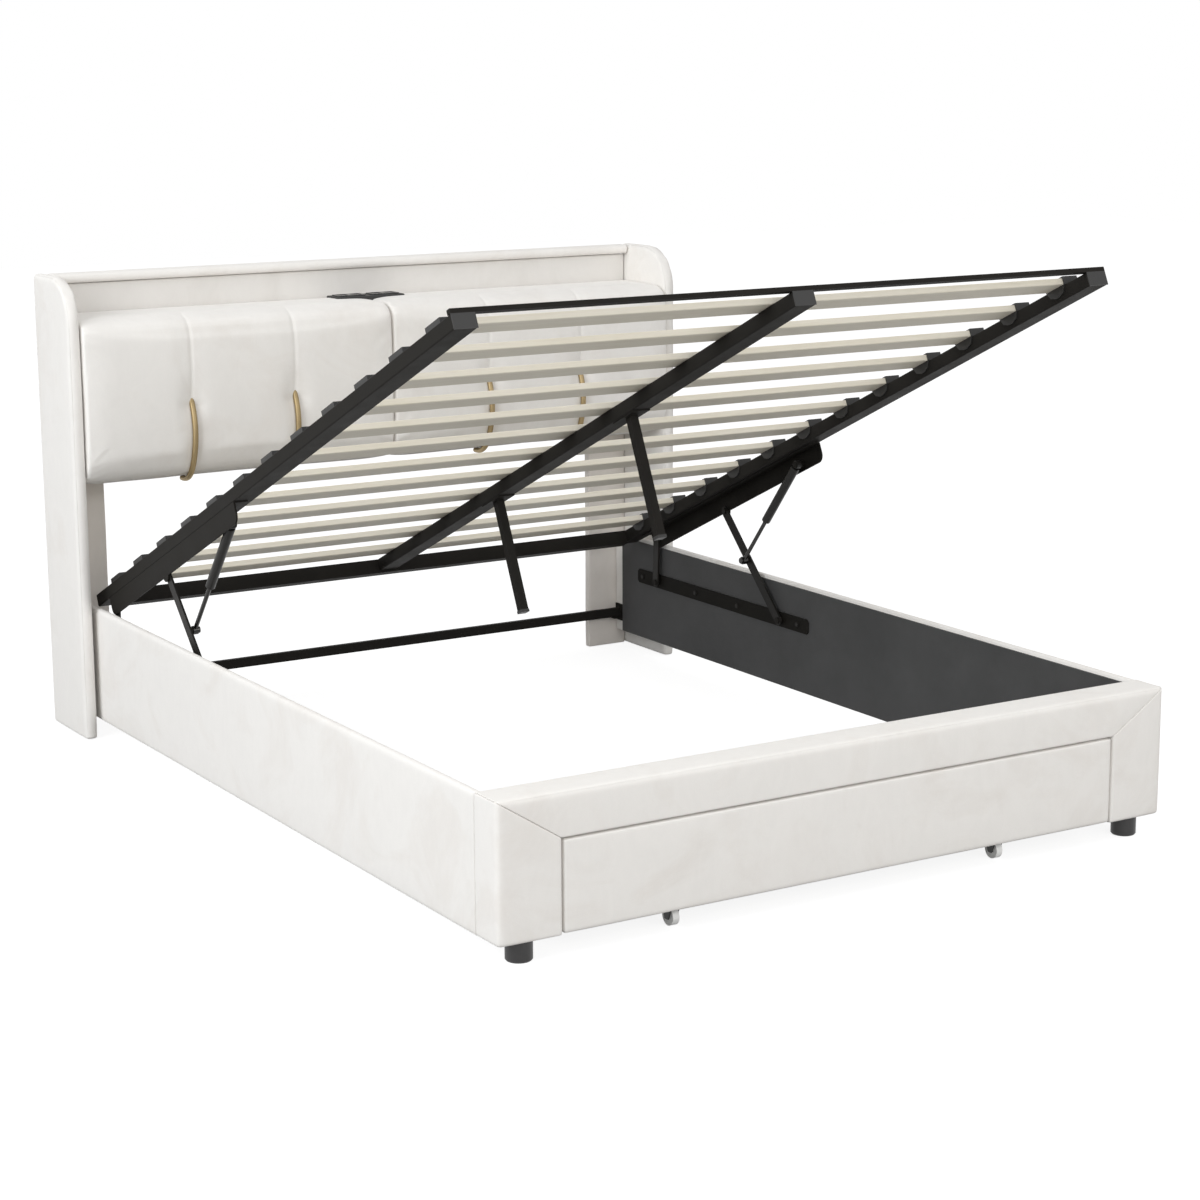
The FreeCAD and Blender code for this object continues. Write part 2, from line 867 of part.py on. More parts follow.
def lining(label, side):
    low, high = span(side, lining_inner, rail_inner)
    body = block(label, (low, lining_front, size.rail_bottom + size.lining_bottom_step),
                 (high, lining_head, size.rail_top - size.lining_top_step))
    deliver(body, label)


both_sides("rail_lining", lining)


# Footboard with mitred corners

def foot_post(label, side):
    body = new_body(label)
    sketch = new_sketch(body, "XZ_Plane", -foot_back)
    inner = post_inner * side
    outer = rail_outer * side
    polygon(sketch, [(inner, size.rail_bottom), (outer, size.rail_bottom),
                     (outer, size.rail_top), (inner, drawer_top)])
    pad(body, sketch, size.foot_depth)
    rounded(body, size.foot_edge_radius,
            lambda middle, run: along(run, "z") and near(abs(middle.x), rail_outer)
            and near(middle.y, front))
    deliver(body, label)


both_sides("footboard_post", foot_post)


def foot_rail():
    body = new_body("FootRail")
    sketch = new_sketch(body, "XZ_Plane", -foot_back)
    polygon(sketch, [(-post_inner, drawer_top), (post_inner, drawer_top),
                     (rail_outer, size.rail_top), (-rail_outer, size.rail_top)])
    pad(body, sketch, size.foot_depth)
    rounded(body, size.foot_edge_radius,
            lambda middle, run: along(run, "x") and near(middle.z, size.rail_top)
            and near(middle.y, front))
    deliver(body, "footboard_top_rail")


foot_rail()

deliver(block("FootLining", (-rail_inner, foot_back, drawer_top),
              (rail_inner, lining_front, size.rail_top - size.foot_lining_step)), "footboard_inner_panel")


def foot():
    """A round foot turned about its own axis, with a chamfered lower rim."""
    body = new_body("Foot")
    sketch = new_sketch(body, "XZ_Plane")
    radius = size.foot_diameter / 2
    polygon(sketch, [(zero, zero), (radius - size.foot_chamfer, zero), (radius, size.foot_chamfer),
                     (radius, size.rail_bottom), (zero, size.rail_bottom)])
    revolve(body, sketch)
    return body


copies("front_feet", foot(), [
    moved((rail_outer - size.foot_inset) * side, front + size.foot_setback, zero) for side in (-1, 1)])


# Crossbar between the rails at the head

crossbar_rear = leg_front - size.crossbar_setback
crossbar_end = rail_inner - size.crossbar_plate_thickness


def crossbar():
    body = new_body("Crossbar")
    wall = size.crossbar_wall
    low = size.crossbar_bottom
    sketch = new_sketch(body, "YZ_Plane", -crossbar_end)
    rectangle(sketch, crossbar_rear - size.crossbar_depth, low, crossbar_rear, low + size.crossbar_height)
    rectangle(sketch, crossbar_rear - size.crossbar_depth + wall, low + wall,
              crossbar_rear - wall, low + size.crossbar_height - wall)
    pad(body, sketch, crossbar_end * 2)
    deliver(body, "crossbar")


crossbar()


def crossbar_plate():
    """A plate on the rail with a lip that carries the end of the crossbar."""
    body = new_body("CrossbarPlate")
    half_z = size.crossbar_plate_height / 2
    middle_z = size.crossbar_bottom + size.crossbar_height / 2
    half_y = size.crossbar_plate_width / 2
    sketch = new_sketch(body, "XZ_Plane", -half_y)
    lip_top = size.crossbar_bottom
    lip_end = crossbar_end - size.crossbar_cup_length
    polygon(sketch, [(lip_end, lip_top - size.crossbar_plate_thickness),
                     (crossbar_end, lip_top - size.crossbar_plate_thickness),
                     (crossbar_end, middle_z - half_z), (rail_inner, middle_z - half_z),
                     (rail_inner, middle_z + half_z), (crossbar_end, middle_z + half_z),
                     (crossbar_end, lip_top), (lip_end, lip_top)])
    pad(body, sketch, size.crossbar_plate_width)
    return body


copies("crossbar_brackets", crossbar_plate(), [
    moved(zero, crossbar_rear - size.crossbar_depth / 2, zero, turn) for turn in (0, half_turn)])


# Drawer

drawer_face_half = post_inner - size.drawer_gap
drawer_side_outer = drawer_face_half - size.drawer_side_inset
wheel_side = drawer_side_outer - size.wheel_inset
drawer_front_back = front + size.drawer_front_thickness
drawer_rear = front + size.drawer_depth
side_top = size.drawer_floor_height + size.drawer_side_height
floor_top = size.drawer_floor_height + size.drawer_floor_thickness


def drawer_front():
    body = new_body("DrawerFront")
    sketch = new_sketch(body, "XZ_Plane", -drawer_front_back)
    rectangle(sketch, -drawer_face_half, size.rail_bottom + size.drawer_gap,
              drawer_face_half, drawer_top - size.drawer_gap)
    pad(body, sketch, size.drawer_front_thickness)
    rounded(body, size.drawer_edge_radius,
            lambda middle, run: not along(run, "y") and near(middle.y, front))
    deliver(body, "drawer_front")


drawer_front()


def drawer_side(label, side):
    low, high = span(side, drawer_side_outer - size.drawer_board, drawer_side_outer)
    body = block(label, (low, drawer_front_back, size.drawer_floor_height), (high, drawer_rear, side_top))
    deliver(body, label)


both_sides("drawer_side", drawer_side)

drawer_inner = drawer_side_outer - size.drawer_board
deliver(block("DrawerBack", (-drawer_inner, drawer_rear - size.drawer_board, size.drawer_floor_height),
              (drawer_inner, drawer_rear, side_top)), "drawer_back")
deliver(block("DrawerFloor", (-drawer_inner, drawer_front_back, size.drawer_floor_height),
              (drawer_inner, drawer_rear - size.drawer_board, floor_top)), "drawer_floor")


# Castors under the drawer

wheel_radius = size.wheel_diameter / 2
wheel_places = {
    "front_left": (-1, size.front_wheel_setback),
    "front_right": (1, size.front_wheel_setback),
    "rear_left": (-1, size.rear_wheel_setback),
    "rear_right": (1, size.rear_wheel_setback),
}


def wheel(label, side, setback):
    """A wheel turned about its own axle, then stood on the floor under the drawer."""
    body = new_body(label)
    sketch = new_sketch(body, "XY_Plane")
    half = size.wheel_width / 2
    bore = size.wheel_bore / 2 + size.pivot_clearance
    rectangle(sketch, bore, -half, wheel_radius, half)
    revolve(body, sketch)
    turn = Rotation(Vector(0, 0, 1), 90)
    place = Vector(*numbers(wheel_side * side, front + setback, wheel_radius))
    deliver(body, label, Placement(place, turn))


for place_name, (side, setback) in wheel_places.items():
    wheel("castor_wheel_" + place_name, side, setback)


def castor_housing():
    """A plate under the drawer floor with two tapering cheeks and a riveted axle."""
    body = new_body("CastorHousing")
    top = size.drawer_floor_height
    inner = size.wheel_width / 2 + size.housing_gap
    outer = inner + size.housing_cheek
    reach = size.housing_length / 2
    nose = size.wheel_bore
    level_slab(body, (-outer, -reach, top - size.housing_plate), (outer, reach, top))
    for start in (-outer, inner):
        sketch = new_sketch(body, "YZ_Plane", start)
        polygon(sketch, [(-reach, top), (-nose, wheel_radius - nose),
                         (nose, wheel_radius - nose), (reach, top)])
        pad(body, sketch, size.housing_cheek)
    disc(body, (-outer, outer), zero, wheel_radius, size.wheel_bore)
    return body


copies("castor_housings", castor_housing(), [
    moved(wheel_side * side, front + setback, zero) for side, setback in wheel_places.values()])


# Raised platform: built flat with its head corner at the origin, then tilted into place

head_y = (back - size.platform_head_setback).value
head_z = size.platform_head_height.value
raised = Placement(Vector(0, head_y, head_z), Rotation(Vector(1, 0, 0), -size.open_angle.value))
platform_foot = -size.platform_length
cap_face = platform_foot + size.cap_thickness


def hollow_tube(name, low_x, high_x, label):
    """A rectangular tube along the platform, from its head end to the end cap."""
    body = new_body(name)
    sketch = new_sketch(body, "XZ_Plane", size.platform_head_end)
    wall = size.tube_wall
    rectangle(sketch, low_x, -size.tube_height, high_x, zero)
    rectangle(sketch, low_x + wall, wall - size.tube_height, high_x - wall, -wall)
    pad(body, sketch, -cap_face - size.platform_head_end)
    outer = (low_x.value, high_x.value)
    rounded(body, size.tube_corner_radius,
            lambda middle, run: along(run, "y") and (near(middle.x, outer[0]) or near(middle.x, outer[1])))
    return deliver(body, label, raised)


def side_tube(label, side):
    low, high = span(side, tube_inner, tube_outer)
    hollow_tube(label, low, high, label)


both_sides("side_tube", side_tube)


def head_tube():
    body = new_body("HeadTube")
    wall = size.tube_wall
    near_y = -(size.platform_head_end + size.head_tube_depth)
    far_y = -size.platform_head_end
    sketch = new_sketch(body, "YZ_Plane", -tube_inner)
    rectangle(sketch, near_y, -size.head_tube_height, far_y, zero)
    rectangle(sketch, near_y + wall, wall - size.head_tube_height, far_y - wall, -wall)
    pad(body, sketch, tube_inner * 2)
    deliver(body, "head_tube", raised)


head_tube()

beam_half = size.tube_width / 2
beam_start = size.platform_head_end + size.head_tube_depth


def centre_beam():
    body = new_body("CentreBeam")
    sketch = new_sketch(body, "XZ_Plane", beam_start)
    wall = size.tube_wall
    rectangle(sketch, -beam_half, -size.tube_height, beam_half, zero)
    rectangle(sketch, wall - beam_half, wall - size.tube_height, beam_half - wall, -wall)
    pad(body, sketch, -cap_face - beam_start)
    rounded(body, size.tube_corner_radius,
            lambda middle, run: along(run, "y") and near(abs(middle.x), beam_half))
    deliver(body, "centre_beam", raised)


centre_beam()


def foot_bar():
    body = new_body("FootBar")
    sketch = new_sketch(body, "YZ_Plane", -tube_outer)
    rectangle(sketch, platform_foot, zero, platform_foot + size.foot_bar_depth, size.foot_bar_height)
    pad(body, sketch, tube_outer * 2)
    rounded(body, size.cap_thickness,
            lambda middle, run: along(run, "x") and near(middle.z, size.foot_bar_height))
    deliver(body, "foot_bar", raised)


foot_bar()


def end_cap():
    """A cap over the open end of a tube with a plug that fits its bore."""
    body = new_body("EndCap")
    half = size.tube_width / 2
    inset = size.tube_wall + size.running_gap
    level_slab(body, (-half, platform_foot, -size.tube_height), (half, cap_face, zero))
    level_slab(body, (inset - half, cap_face, inset - size.tube_height),
               (half - inset, cap_face + size.cap_plug, -inset))
    return body


tube_middle = tube_outer - size.tube_width / 2
copies("tube_end_caps", end_cap(), [
    moved(tube_middle * place, zero, zero) for place in (-1, 0, 1)], raised)


# Slats and their holders

slat_end = tube_inner + size.slat_overlap
slat_starts = [(size.first_slat + size.slat_pitch * step).value for step in range(slat_count)]


def slat():
    """One board right across the platform, with rounded long edges."""
    body = new_body("Slat")
    half = size.slat_width / 2
    level_slab(body, (-slat_end, -half, zero), (slat_end, half, size.slat_thickness))
    rounded(body, size.slat_chamfer, lambda middle, run: along(run, "x"), "PartDesign::Chamfer")
    return body


slat_places = [size.first_slat + size.slat_pitch * step for step in range(slat_count)]
copies("slats", slat(), [moved(zero, -place, zero) for place in slat_places], raised)


tongue_turns = [math.pi + math.radians(angle) for angle in tongue_angles]
tongue_turns += [-math.radians(angle) for angle in reversed(tongue_angles)]
tongue_corners = [(math.cos(turn), abs(math.sin(turn))) for turn in tongue_turns]


def holder():
    """A cup on the tube that takes a slat end, with a round tongue down the tube's inner face."""
    body = new_body("SlatHolder")
    wall = size.holder_wall
    slack = size.holder_slack
    half = size.slat_width / 2
    inner = tube_inner - size.tongue_thickness
    top = size.slat_thickness + wall
    level_slab(body, (inner, -half - wall, zero), (inner + size.holder_length, half + wall, top))
    sketch = new_sketch(body, "YZ_Plane", inner - wall)
    rectangle(sketch, -half - slack, -slack, half + slack, size.slat_thickness + slack)
    pocket(body, sketch, slat_end + slack - inner + wall, True)
    sketch = new_sketch(body, "YZ_Plane", inner)
    tongue_outline(sketch, half + wall, size.tongue_depth)
    pad(body, sketch, size.tongue_thickness - slack)
    return body


def tongue_outline(sketch, half, depth):
    """A flap as wide as the cup, narrowing in straight facets to a round-looking end."""
    polygon(sketch, [(half * across, -depth * down) for across, down in tongue_corners])


slat_holder = holder()
for word, turn in (("right", 0), ("left", half_turn)):
    copies(word + "_slat_holders", slat_holder,
           [moved(zero, -place, zero, turn) for place in slat_places], raised)


# Legs under the centre beam

leg_places = (size.first_centre_leg, size.second_centre_leg)
plate_low = -(size.tube_height + size.leg_plate_thickness)
plug_top = size.leg_foot_height - size.centre_leg_end


def square_block(name, half_x, half_y, low, high):
    body = new_body(name)
    level_slab(body, (-half_x, -half_y, low), (half_x, half_y, high))
    return body


def centre_leg():
    """A square tube that hangs down from its plate."""
    body = new_body("CentreLeg")
    half = size.centre_leg_side / 2
    inner = half - size.tube_wall
    sketch = new_sketch(body, "XY_Plane", plug_top)
    rectangle(sketch, -half, -half, half, half)
    rectangle(sketch, -inner, -inner, inner, inner)
    pad(body, sketch, plate_low - plug_top)
    return body


leg_spots = [moved(zero, -place, zero) for place in leg_places]
copies("centre_legs", centre_leg(), leg_spots, raised)
copies("centre_leg_plates", square_block("LegPlate", size.leg_plate_width / 2, size.leg_plate_length / 2,
                                         plate_low, -size.tube_height), leg_spots, raised)
copies("centre_leg_feet", square_block("LegFoot", size.leg_foot_side / 2, size.leg_foot_side / 2,
                                       -size.centre_leg_end, plug_top), leg_spots, raised)


# Lift linkage: pivots in the side view, as (y, z)

closed_y = (leg_front + size.closed_head_setback - size.platform_head_end).value
closed_z = size.closed_height.value
tilt = math.radians(size.open_angle.value)


def raised_point(run, drop):
    """A point of the raised platform: run along it from the head, drop below its top."""
    y = head_y - run.value * math.cos(tilt) - drop.value * math.sin(tilt)
    z = head_z + run.value * math.sin(tilt) - drop.value * math.cos(tilt)
    return y, z


def closed_point(run, drop):
    return closed_y - run.value, closed_z - drop.value


def fixed_pivot(run, drop):
    """The y on the base bracket that is as far from a moving pivot raised as closed."""
    level = size.pivot_height.value
    open_y, open_z = raised_point(run, drop)
    shut_y, shut_z = closed_point(run, drop)
    rise = (open_z - level) ** 2 - (shut_z - level) ** 2
    return (open_y ** 2 - shut_y ** 2 + rise) / (2 * (open_y - shut_y))


head_moving = (size.head_pivot_along, size.head_pivot_drop)
middle_moving = (size.head_pivot_along + size.middle_pivot_reach, size.middle_pivot_drop)
spring_moving = (middle_moving[0] + size.spring_pivot_reach, size.spring_pivot_drop)
short_base = (fixed_pivot(*head_moving), size.pivot_height.value)
long_base = (fixed_pivot(*middle_moving), size.pivot_height.value)
short_top = raised_point(*head_moving)
long_top = raised_point(*middle_moving)
spring_top = raised_point(*spring_moving)
cross_pin = tuple(low + cross_pin_share * (high - low) for low, high in zip(long_base, long_top))


def length_between(first, second):
    return math.hypot(second[0] - first[0], second[1] - first[1])


short_length = length_between(short_base, short_top)
long_length = length_between(long_base, long_top)
spring_length = length_between(cross_pin, spring_top)

# Layers of the mechanism across the bed, from the lining inwards
base_inner = lining_inner - size.bracket_thickness
flange_outer = tube_outer
flange_inner = tube_outer - size.flange_thickness
link_outer = flange_inner - size.bracket_gap
link_inner = link_outer - size.link_thickness
spring_centre = link_inner - size.spring_side_gap - size.cylinder_diameter / 2


def ends_of(side, start, end):
    """The x range between two places on one side, low value first."""
    if side * number(start) < side * number(end):
        return start * side, end * side
    return end * side, start * side


def stacked(body, side, y, z, steps):
    """Round steps along X at one pivot, each given as its two ends and its diameter."""
    for start, end, diameter in steps:
        disc(body, ends_of(side, start, end), y, z, diameter)


pin_tip = link_inner - size.running_gap
boss_tip = link_outer + size.running_gap
pivot_steps = [(boss_tip, pin_tip, size.pin_diameter),
               (pin_tip, pin_tip - size.pin_head_height, size.pin_head_diameter)]
bracket_head = back - size.bracket_head_setback
bracket_foot = bracket_head - size.bracket_length


def base_bracket(label, side):
    """A flat bar bolted to the lining, with a stepped boss and pin at each lower pivot."""
    body = new_body(label)
    across = ends_of(side, base_inner, lining_inner)
    slab(body, across, bracket_foot, size.bracket_bottom,
         bracket_head, size.bracket_bottom + size.bracket_height)
    rounded(body, size.bracket_corner, lambda middle, run: along(run, "x"), "PartDesign::Chamfer")
    for y, z in (short_base, long_base):
        boss = [(base_inner, boss_tip, size.pin_head_diameter)]
        stacked(body, side, plain(y), plain(z), boss + pivot_steps)
    deliver(body, label)


both_sides("base_bracket", base_bracket)


def upper_bracket(label, side):
    """An angle under the side tube: a shelf, and a flange with pins and the stud of the gas spring."""
    body = new_body(label)
    start = size.flange_head_margin - size.head_pivot_along
    end = -(spring_moving[0] + size.flange_foot_margin)
    under = -size.tube_height
    slab(body, ends_of(side, flange_inner, flange_outer), end, -size.flange_drop, start, under)
    rounded(body, size.flange_corner_radius, lambda middle, run: along(run, "x")
            and near(middle.z, -size.flange_drop))
    slab(body, ends_of(side, tube_outer - size.shelf_width, flange_outer),
         end, under - size.shelf_thickness, start, under)
    middle = (-middle_moving[0], -middle_moving[1])
    head = (-head_moving[0], -head_moving[1])
    spring = (-spring_moving[0], -spring_moving[1])
    stacked(body, side, *middle, [(flange_inner, flange_outer, size.lug_diameter),
                                  (boss_tip, flange_outer, size.pin_head_diameter)])
    stacked(body, side, *head, [(flange_inner, boss_tip, size.pin_head_diameter)] + pivot_steps)
    eye_outer = spring_centre + size.eye_width / 2 + size.running_gap
    eye_inner = spring_centre - size.eye_width / 2 - size.running_gap
    stacked(body, side, *spring, [(flange_inner, eye_outer, size.pin_head_diameter),
                                  (eye_outer, eye_inner, size.cross_pin_diameter),
                                  (eye_inner, eye_inner - size.pin_head_height, size.cross_pin_head_diameter)])
    deliver(body, label, raised)


both_sides("upper_bracket", upper_bracket)


def strap_link(body, side, length):
    """A flat bar with round ends along +Y from its lower pivot at the origin."""
    across = ends_of(side, link_inner, link_outer)
    slab(body, across, zero, -size.link_width / 2, plain(length), size.link_width / 2)
    disc(body, across, zero, zero, size.link_width)
    disc(body, across, plain(length), zero, size.link_width)
    return across


link_bore = size.pin_diameter + size.pivot_clearance * 2


def link_placement(base, top):
    angle = math.degrees(math.atan2(top[1] - base[1], top[0] - base[0]))
    return Placement(Vector(0, base[0], base[1]), Rotation(Vector(1, 0, 0), angle))


def short_link(label, side):
    """The short link, bored at both ends."""
    body = new_body(label)
    across = strap_link(body, side, short_length)
    for place in (0, short_length):
        hole(body, across, plain(place), zero, link_bore)
    deliver(body, label, link_placement(short_base, short_top))


both_sides("short_link", short_link)


def long_link(label, side):
    """The long link, with the cross pin for the gas spring and a rivet head at its top."""
    body = new_body(label)
    across = strap_link(body, side, long_length)
    hole(body, across, zero, zero, link_bore)
    stop = spring_centre + size.eye_width / 2 + size.running_gap
    stacked(body, side, plain(cross_pin_share * long_length), zero,
            [(stop, link_inner, size.cross_pin_head_diameter)])
    stacked(body, side, plain(long_length), zero,
            [(link_inner - size.pin_head_height, link_inner, size.pin_head_diameter)])
    deliver(body, label, link_placement(long_base, long_top))


both_sides("long_link", long_link)


# Gas springs, drawn along +Y from the stud on the upper bracket

eye_half = size.eye_width / 2
eye_bore = size.cross_pin_diameter + size.pivot_clearance * 2
shut_cross_pin = tuple(
    low + cross_pin_share * (high - low) for low, high in zip(long_base, closed_point(*middle_moving)))
shut_spring_length = length_between(shut_cross_pin, closed_point(*spring_moving))
spring_stroke = spring_length - shut_spring_length
cylinder_end = plain(shut_spring_length) - size.cylinder_gland_gap
barrel_start = size.eye_diameter / 2
bore_start = size.eye_diameter
bore_radius = size.rod_diameter / 2 + size.pivot_clearance


def spring_placement(side):
    """From the stud on the upper bracket down to the cross pin."""
    angle = math.degrees(math.atan2(cross_pin[1] - spring_top[1], cross_pin[0] - spring_top[0]))
    place = Vector(side * spring_centre.value, spring_top[0], spring_top[1])
    return Placement(place, Rotation(Vector(1, 0, 0), angle))


def gas_cylinder(label, side):
    """The fat tube of the gas spring, closed at its eye end and bored for the rod."""
    body = new_body(label)
    sketch = new_sketch(body, "XY_Plane")
    radius = size.cylinder_diameter / 2
    neck = size.rod_diameter / 2
    end = cylinder_end
    polygon(sketch, [(zero, zero), (neck, zero), (neck, barrel_start), (radius, barrel_start),
                     (radius, end), (bore_radius, end), (bore_radius, bore_start), (zero, bore_start)])
    revolve(body, sketch)
    disc(body, (-eye_half, eye_half), zero, zero, size.eye_diameter)
    hole(body, (-eye_half, eye_half), zero, zero, eye_bore)
    deliver(body, label, spring_placement(side))


both_sides("gas_cylinder", gas_cylinder)


def gas_rod(label, side):
    """The thin rod with its eye and the bolt head that closes the cross pin."""
    body = new_body(label)
    sketch = new_sketch(body, "XY_Plane")
    inside = bore_start + size.cut_overrun + plain(spring_stroke)
    rectangle(sketch, zero, inside, size.rod_diameter / 2, plain(spring_length))
    revolve(body, sketch)
    disc(body, (-eye_half, eye_half), plain(spring_length), zero, size.eye_diameter)
    stacked(body, -side, plain(spring_length), zero,
            [(eye_half, eye_half + size.cross_pin_head_height, size.cross_pin_head_diameter)])
    deliver(body, label, spring_placement(side))


both_sides("gas_rod", gas_rod)


# Check and write

doc.recompute()
problems = []
for item in doc.Objects:
    if "Invalid" in item.State or "Error" in item.State:
        problems.append(item.Name)
for item in finished:
    shape = item.Shape
    if shape.isNull() or not shape.isValid() or not shape.Solids:
        problems.append(item.Label)
if problems:
    raise RuntimeError("failed objects: " + ", ".join(problems))
for item in finished:
    item.Shape.exportStep(os.path.join("parts", item.Label + ".step"))
print("nodes", len(finished))
for name, point in (("short base", short_base), ("short top", short_top), ("long base", long_base),
                    ("long top", long_top), ("spring top", spring_top), ("cross pin", cross_pin)):
    print("pivot", name, round(point[0], 5), round(point[1], 5))
print("closed head", round(closed_y, 5), round(closed_z, 5))
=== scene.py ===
import bmesh
import bpy
import math
from mathutils import Matrix, Vector, noise


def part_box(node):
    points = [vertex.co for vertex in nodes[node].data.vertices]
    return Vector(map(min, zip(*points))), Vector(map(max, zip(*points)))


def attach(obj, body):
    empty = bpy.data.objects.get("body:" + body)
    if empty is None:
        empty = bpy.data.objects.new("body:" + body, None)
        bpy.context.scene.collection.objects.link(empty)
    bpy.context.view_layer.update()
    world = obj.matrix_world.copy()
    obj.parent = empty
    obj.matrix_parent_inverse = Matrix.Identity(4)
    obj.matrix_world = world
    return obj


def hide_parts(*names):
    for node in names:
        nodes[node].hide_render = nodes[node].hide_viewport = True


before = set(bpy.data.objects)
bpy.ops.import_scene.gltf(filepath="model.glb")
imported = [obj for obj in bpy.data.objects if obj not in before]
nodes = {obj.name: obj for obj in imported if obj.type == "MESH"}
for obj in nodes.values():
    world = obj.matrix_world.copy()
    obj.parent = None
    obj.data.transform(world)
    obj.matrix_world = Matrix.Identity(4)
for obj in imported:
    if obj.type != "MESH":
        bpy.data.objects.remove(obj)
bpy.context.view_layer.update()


# Materials

def new_material(name):
    """A node material with one Principled shader; returns it with its tree and shader."""
    made = bpy.data.materials.new(name)
    made.use_nodes = True
    tree = made.node_tree
    tree.nodes.clear()
    output = tree.nodes.new("ShaderNodeOutputMaterial")
    shader = tree.nodes.new("ShaderNodeBsdfPrincipled")
    tree.links.new(shader.outputs["BSDF"], output.inputs["Surface"])
    return made, tree, shader


def coordinates(tree, stretch=(1, 1, 1)):
    """Object coordinates in metres, stretched along the axes."""
    source = tree.nodes.new("ShaderNodeTexCoord")
    mapping = tree.nodes.new("ShaderNodeMapping")
    mapping.inputs["Scale"].default_value = stretch
    tree.links.new(source.outputs["Object"], mapping.inputs["Vector"])
    return mapping.outputs["Vector"]


def noise_value(tree, vector, scale, detail=4, rough=0.55, distortion=0.0):
    node = tree.nodes.new("ShaderNodeTexNoise")
    node.inputs["Scale"].default_value = scale
    node.inputs["Detail"].default_value = detail
    node.inputs["Roughness"].default_value = rough
    node.inputs["Distortion"].default_value = distortion
    tree.links.new(vector, node.inputs["Vector"])
    return node.outputs["Fac"]


def remap(tree, value, low, high, to_low, to_high):
    node = tree.nodes.new("ShaderNodeMapRange")
    node.inputs["From Min"].default_value = low
    node.inputs["From Max"].default_value = high
    node.inputs["To Min"].default_value = to_low
    node.inputs["To Max"].default_value = to_high
    tree.links.new(value, node.inputs["Value"])
    return node.outputs["Result"]


def ramp(tree, value, stops):
    """Colours by value, given as (place, (red, green, blue)) in linear light."""
    node = tree.nodes.new("ShaderNodeValToRGB")
    ends = node.color_ramp.elements
    while len(ends) < len(stops):
        ends.new(0.5)
    for end, (place, colour) in zip(ends, stops):
        end.position = place
        end.color = (*colour, 1)
    tree.links.new(value, node.inputs["Fac"])
    return node.outputs["Color"]


def mix_colours(tree, factor, first, second, kind="MIX"):
    node = tree.nodes.new("ShaderNodeMix")
    node.data_type = "RGBA"
    node.blend_type = kind
    if isinstance(factor, float):
        node.inputs["Factor"].default_value = factor
    else:
        tree.links.new(factor, node.inputs["Factor"])
    for socket, item in ((node.inputs[6], first), (node.inputs[7], second)):
        if isinstance(item, tuple):
            socket.default_value = (*item, 1)
        else:
            tree.links.new(item, socket)
    return node.outputs[2]


def bump(tree, shader, heights):
    """Stack of bumps given as (height output, distance in metres, strength)."""
    normal = None
    for height, distance, strength in heights:
        node = tree.nodes.new("ShaderNodeBump")
        node.inputs["Distance"].default_value = distance
        node.inputs["Strength"].default_value = strength
        tree.links.new(height, node.inputs["Height"])
        if normal is not None:
            tree.links.new(normal, node.inputs["Normal"])
        normal = node.outputs["Normal"]
    tree.links.new(normal, shader.inputs["Normal"])


def velvet(name, light, dark):
    """Short pile velvet: soft brushed patches, a fine pile and a little sheen."""
    made, tree, shader = new_material(name)
    plain = coordinates(tree)
    streaked = coordinates(tree, (1.0, 1.0, 0.45))
    patches = noise_value(tree, plain, 4.2, 5, 0.62, 1.1)
    strokes = noise_value(tree, streaked, 22, 5, 0.62, 1.8)
    pile = noise_value(tree, plain, 650, 2, 0.7)
    base = ramp(tree, patches, [(0.34, dark), (0.50, light), (0.70, tuple(0.99 * c for c in light))])
    stroke_tone = remap(tree, strokes, 0.3, 0.7, 0.982, 1.010)
    pile_tone = remap(tree, pile, 0.3, 0.7, 0.982, 1.010)
    tone = tree.nodes.new("ShaderNodeMath")
    tone.operation = "MULTIPLY"
    tree.links.new(stroke_tone, tone.inputs[0])
    tree.links.new(pile_tone, tone.inputs[1])
    colour = mix_colours(tree, 1.0, base, tone.outputs[0], "MULTIPLY")
    tree.links.new(colour, shader.inputs["Base Color"])
    roughness = remap(tree, patches, 0.3, 0.7, 0.80, 0.92)
    tree.links.new(roughness, shader.inputs["Roughness"])
    shader.inputs["Specular IOR Level"].default_value = 0.18
    shader.inputs["Sheen Weight"].default_value = 0.25
    shader.inputs["Sheen Roughness"].default_value = 0.45
    shader.inputs["Sheen Tint"].default_value = (1.0, 0.985, 0.965, 1)
    bump(tree, shader, [(patches, 0.0022, 0.14), (strokes, 0.0007, 0.14), (pile, 0.0003, 0.3)])
    return made


def powder_coat(name, colour, gloss=0.46, shine=0.22):
    """Black powder coat: fine orange peel, slight patches of gloss and lighter sharp edges."""
    made, tree, shader = new_material(name)
    vector = coordinates(tree)
    peel = noise_value(tree, vector, 900, 2, 0.5)
    patches = noise_value(tree, vector, 14, 4, 0.6)
    tint = ramp(tree, patches, [(0.3, tuple(0.8 * c for c in colour)),
                                (0.7, tuple(1.35 * c for c in colour))])
    edges = tree.nodes.new("ShaderNodeNewGeometry")
    # Sharp edges, found by pointiness, are mixed towards a lighter brown-black.
    sharp_edge_lift = remap(tree, edges.outputs["Pointiness"], 0.53, 0.6, 0.0, 0.22)
    tree.links.new(mix_colours(tree, sharp_edge_lift, tint, (0.050, 0.047, 0.044)), shader.inputs["Base Color"])
    tree.links.new(remap(tree, patches, 0.3, 0.7, gloss - 0.05, gloss + 0.07), shader.inputs["Roughness"])
    shader.inputs["Specular IOR Level"].default_value = shine
    bump(tree, shader, [(peel, 0.00025, 0.35)])
    return made


